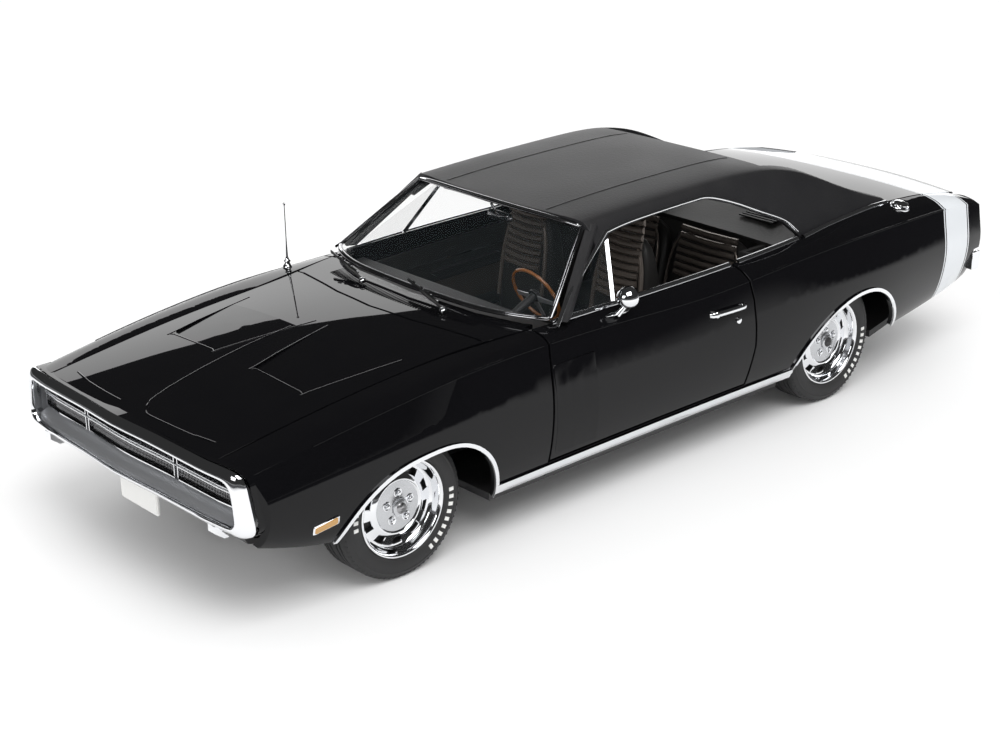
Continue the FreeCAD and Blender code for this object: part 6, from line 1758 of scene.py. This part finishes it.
    def bay_fittings(self):
        """Set the yoke panel, the battery, the reservoir and the brake cylinder in the bay."""
        shape = Shape()
        shape.plate(rounded([(121.6, -36.5), (134.6, -34.5), (134.6, 34.5), (121.6, 36.5)], 1.0), "XY", 37.4, 38.2,
                    "satin_black")
        for y in (-24.0, -8.0, 8.0, 24.0):
            shape.turned([(0.7, 0), (0.7, 0.3), (0.4, 0.5), (0, 0.5)], (124.2, y, 38.15), UP, "steel", 12)
        battery_x, battery_y = 108.5, -26.5
        for long, wide, low, high, finish_name in (
                (4.5, 3.9, 27.0, 36.0, "satin_black"), (4.7, 4.1, 35.4, 36.4, "rubber"),
                (5.5, 4.3, 25.6, 27.2, "satin_black")):
            shape.block((battery_x - long, battery_y - wide, low), (battery_x + long, battery_y + wide, high),
                        finish_name)
        for y in (battery_y - 2.0, battery_y, battery_y + 2.0):
            shape.turned([(0.6, 0), (0.6, 0.4), (0.4, 0.6), (0, 0.6)], (battery_x, y, 36.3), UP, "red_lens", 12)
        for x in (105.3, 111.7):
            shape.turned([(0.45, 0), (0.45, 0.7), (0, 0.75)], (x, -23.3, 36.3), UP, "steel", 12)
        shape.loft([[(x, y, z) for x, y in rounded(oblong(103.0, 22.8, 111.0, 30.3), 1.5)]
                    for z in (27.0, 34.6, 35.4)], "white_rubber")
        shape.turned([(1.1, 0), (1.1, 0.7), (0, 0.8)], (107.0, 26.6, 35.3), UP, "satin_black", 18)
        shape.tube((53.0, 17.0, 36.5), (60.0, 17.0, 35.8), 2.6, "satin_black", 28)
        shape.tube((59.6, 17.0, 35.8), (66.0, 17.0, 35.2), 1.3, "steel", 20)
        shape.block((60.6, 15.6, 36.4), (65.6, 18.4, 38.6), "steel")
        shape.make("bay_fittings", "body", bevel=0.18, smooth=40)

    def exhaust_tips(self):
        """Put a bright rolled tip on each tail pipe."""
        low, _ = box_mm("exhaust")
        shape = Shape()
        for side in SIDES:
            centre = (low.x, side * 21.6, 17.58)
            shape.turned([(1.2, 2.6), (1.62, 2.5), (1.66, 0.2), (1.6, 0.02), (1.4, 0.02), (1.34, 0.2), (1.3, 2.2),
                          (0, 2.2)], centre, (1, 0, 0), "chrome", 28)
        shape.make("exhaust_tips", "body", smooth=50)


class MUSCLE_OT_tail(bpy.types.Operator):
    """Dress the tail panel, and build the rear bumper with its crease and its two guards"""
    bl_idname = "muscle.tail"
    bl_label = "Tail"

    def execute(self, context):
        carry_over("tail_panel", "paint")
        low, high = box_mm("rear_bumper")
        shape = Shape()
        half, middle = high.y, (low.z + high.z) / 2
        profile = [(4.4, -0.92), (2.2, -1.0), (0.9, -0.94), (0.35, -0.70), (0.55, -0.10), (0.62, 0.0), (0.55, 0.10),
                   (0.0, 0.45), (0.1, 0.80), (0.7, 0.97), (2.0, 1.0), (4.4, 0.92)]
        rings = []
        for y in evenly(half):
            bend = abs(y) / half
            face = low.x + 0.05 + 6.9 * max(bend - 0.45, 0.0) ** 2
            tall = (high.z - low.z) / 2 * (1.0 - 0.10 * bend ** 3)
            rings.append([(min(face + a, high.x + 1.8), y, middle + b * tall) for a, b in profile])
        shape.loft(rings, "chrome")
        for side in SIDES:
            y = side * 17.0
            shape.loft([[(low.x + a, y + b, z) for a, b in ((0.0, -1.1), (0.0, 1.1), (1.8, 1.4), (1.8, -1.4))]
                        for z in (low.z + 0.3, high.z - 0.3)], "chrome")
        shape.make("rear_bumper_bright", "body", ("rear_bumper",), bevel=0.08, smooth=40)
        return {"FINISHED"}


class MUSCLE_OT_stage(bpy.types.Operator):
    """Set up the pale floor, the studio lamps and the camera"""
    bl_idname = "muscle.stage"
    bl_label = "Studio Stage"

    def execute(self, context):
        stage = settings("stage")
        floor = Shape()
        reach = 2500.0
        floor.loft([[(-reach, y, 0), (reach, y, 0)] for y in (-reach, reach)], "floor", around=False, caps=False)
        data = smooth_data(floor.mesh, "floor")
        data.materials.append(floor_finish())
        plane = bpy.data.objects.new("studio_floor", data)
        context.scene.collection.objects.link(plane)
        world_light(context.scene)
        lamps = [
            ("key", (0.30, 0.90, 1.50), (0.0, 0.0, 0.0), (1.1, 1.1), 16.0),
            ("fill", (1.60, 0.30, 0.90), (0.05, 0.0, 0.03), (0.9, 0.7), 7.0),
            ("back", (-1.21, -1.49, 0.45), (0.05, 0.0, 0.03), (1.96, 0.90), 10.8),
        ]
        for name, place, aim, spread, power in lamps:
            lamp = bpy.data.lights.new(name, "AREA")
            lamp.shape = "RECTANGLE"
            lamp.size, lamp.size_y = spread
            lamp.energy = power * stage.light
            holder = bpy.data.objects.new(name, lamp)
            context.scene.collection.objects.link(holder)
            holder.location = place
            holder.rotation_euler = (Vector(aim) - Vector(place)).to_track_quat("-Z", "Y").to_euler()
        context.scene.view_settings.view_transform = "Standard"
        camera_data = bpy.data.cameras.new("camera")
        camera_data.lens = stage.lens
        camera_data.sensor_width = 36.0
        camera = bpy.data.objects.new("camera", camera_data)
        context.scene.collection.objects.link(camera)
        context.scene.camera = camera
        azimuth, rise, roll = stage.azimuth, stage.rise, stage.roll
        back = Vector((math.cos(rise) * math.cos(azimuth), math.cos(rise) * math.sin(azimuth), math.sin(rise)))
        flat_right = Vector((-math.sin(azimuth), math.cos(azimuth), 0))
        flat_up = back.cross(flat_right)
        right = flat_right * math.cos(roll) + flat_up * math.sin(roll)
        up = flat_up * math.cos(roll) - flat_right * math.sin(roll)
        aim_point = Vector((38.1, 19.3, 30.0)) * MM
        matrix = camera.matrix_world.to_3x3()
        matrix.col[0], matrix.col[1], matrix.col[2] = right, up, back
        camera.matrix_world = matrix.to_4x4()
        camera.location = aim_point + back * stage.reach
        return {"FINISHED"}


def floor_finish():
    """Build the pale floor: it takes shadows, darkens away from the car in gloss and ends in the white backdrop."""
    material = bpy.data.materials.new("studio_floor")
    material.use_nodes = True
    wiring = Wiring(material.node_tree)
    shader = material.node_tree.nodes["Principled BSDF"]
    place = wiring.node("ShaderNodeTexCoord").outputs["Object"]
    mottle = wiring.node("ShaderNodeTexNoise", {"Vector": place, "Scale": 3.0})
    tone = wiring.mix(mottle.outputs[0], (0.90, 0.90, 0.90, 1), (0.93, 0.93, 0.93, 1))
    away = wiring.node("ShaderNodeVectorMath", {0: place}, operation="LENGTH").outputs["Value"]
    far, backdrop = [wiring.node("ShaderNodeMapRange", {"Value": away, "From Min": near, "From Max": end},
                                 interpolation_type="SMOOTHSTEP").outputs[0]
                     for near, end in ((0.28, 0.44), (0.55, 1.1))]
    path = wiring.node("ShaderNodeLightPath")
    tone = wiring.mix(wiring.math("MULTIPLY", far, path.outputs["Is Glossy Ray"]), tone, (0.05, 0.05, 0.055, 1))
    glow = wiring.math("MULTIPLY", backdrop, path.outputs["Is Camera Ray"])
    tone = wiring.mix(glow, tone, (0, 0, 0, 1))
    material.node_tree.links.new(tone, shader.inputs["Base Color"])
    material.node_tree.links.new(glow, shader.inputs["Emission Strength"])
    shader.inputs["Emission Color"].default_value = (1, 1, 1, 1)
    shader.inputs["Roughness"].default_value = 0.9
    shader.inputs["Specular IOR Level"].default_value = 0.1
    return material


def world_light(scene):
    """Light the world softly, with white seen by the camera and a dark upper half seen in gloss."""
    world = bpy.data.worlds.new("studio")
    scene.world = world
    world.use_nodes = True
    tree = world.node_tree
    wiring = Wiring(tree)
    background = tree.nodes["Background"]
    path = wiring.node("ShaderNodeLightPath")
    direction = wiring.node("ShaderNodeTexCoord").outputs["Generated"]
    rise = wiring.node("ShaderNodeSeparateXYZ", {0: direction}).outputs[2]
    ramp = wiring.node("ShaderNodeMapRange", {"Value": rise, "From Min": -0.02, "From Max": 0.05,
                                              "To Min": 0.35, "To Max": 0.03}, interpolation_type="SMOOTHSTEP")
    gloss = wiring.math("MULTIPLY", path.outputs["Is Glossy Ray"], ramp.outputs[0])
    seen = wiring.math("MAXIMUM", path.outputs["Is Camera Ray"], path.outputs["Is Transmission Ray"])
    plain = wiring.math("MULTIPLY", path.outputs["Is Diffuse Ray"], 0.75)
    strength = wiring.math("MAXIMUM", wiring.math("MAXIMUM", seen, plain), gloss)
    tree.links.new(strength, background.inputs["Strength"])
    background.inputs["Color"].default_value = (1, 1, 1, 1)


GROUPS = [("paint", PaintSettings), ("wheel", WheelSettings), ("grille", GrilleSettings),
          ("cabin", CabinSettings), ("stage", StageSettings)]
OPERATORS = [MUSCLE_OT_stage, MUSCLE_OT_panels, MUSCLE_OT_nose, MUSCLE_OT_wheels, MUSCLE_OT_trims,
             MUSCLE_OT_fittings, MUSCLE_OT_cabin, MUSCLE_OT_mechanics, MUSCLE_OT_tail]


class MUSCLE_PT_panel(bpy.types.Panel):
    """Lists the car's settings and the steps that dress it"""
    bl_label = "Muscle Car"
    bl_idname = "MUSCLE_PT_panel"
    bl_space_type = "VIEW_3D"
    bl_region_type = "UI"
    bl_category = "Muscle Car"

    def draw(self, context):
        for name, _ in GROUPS:
            values = settings(name)
            column = self.layout.column(align=True)
            column.label(text=name.title())
            for key in values.__annotations__:
                column.prop(values, key)
        for operator in OPERATORS:
            self.layout.operator(operator.bl_idname)


def register():
    """Register the settings, the steps and the panel."""
    for name, group in GROUPS:
        bpy.utils.register_class(group)
        setattr(bpy.types.Scene, "muscle_car_" + name, PointerProperty(type=group))
    for each in OPERATORS + [MUSCLE_PT_panel]:
        bpy.utils.register_class(each)


def unregister():
    """Take the panel, the steps and the settings away again."""
    for each in reversed(OPERATORS + [MUSCLE_PT_panel]):
        bpy.utils.unregister_class(each)
    for name, group in reversed(GROUPS):
        delattr(bpy.types.Scene, "muscle_car_" + name)
        bpy.utils.unregister_class(group)


def main():
    """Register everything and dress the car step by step."""
    register()
    make_finishes()
    repeat_group()
    path_group()
    for operator in OPERATORS:
        family, step = operator.bl_idname.split(".")
        getattr(getattr(bpy.ops, family), step)()


if __name__ == "__main__":
    main()
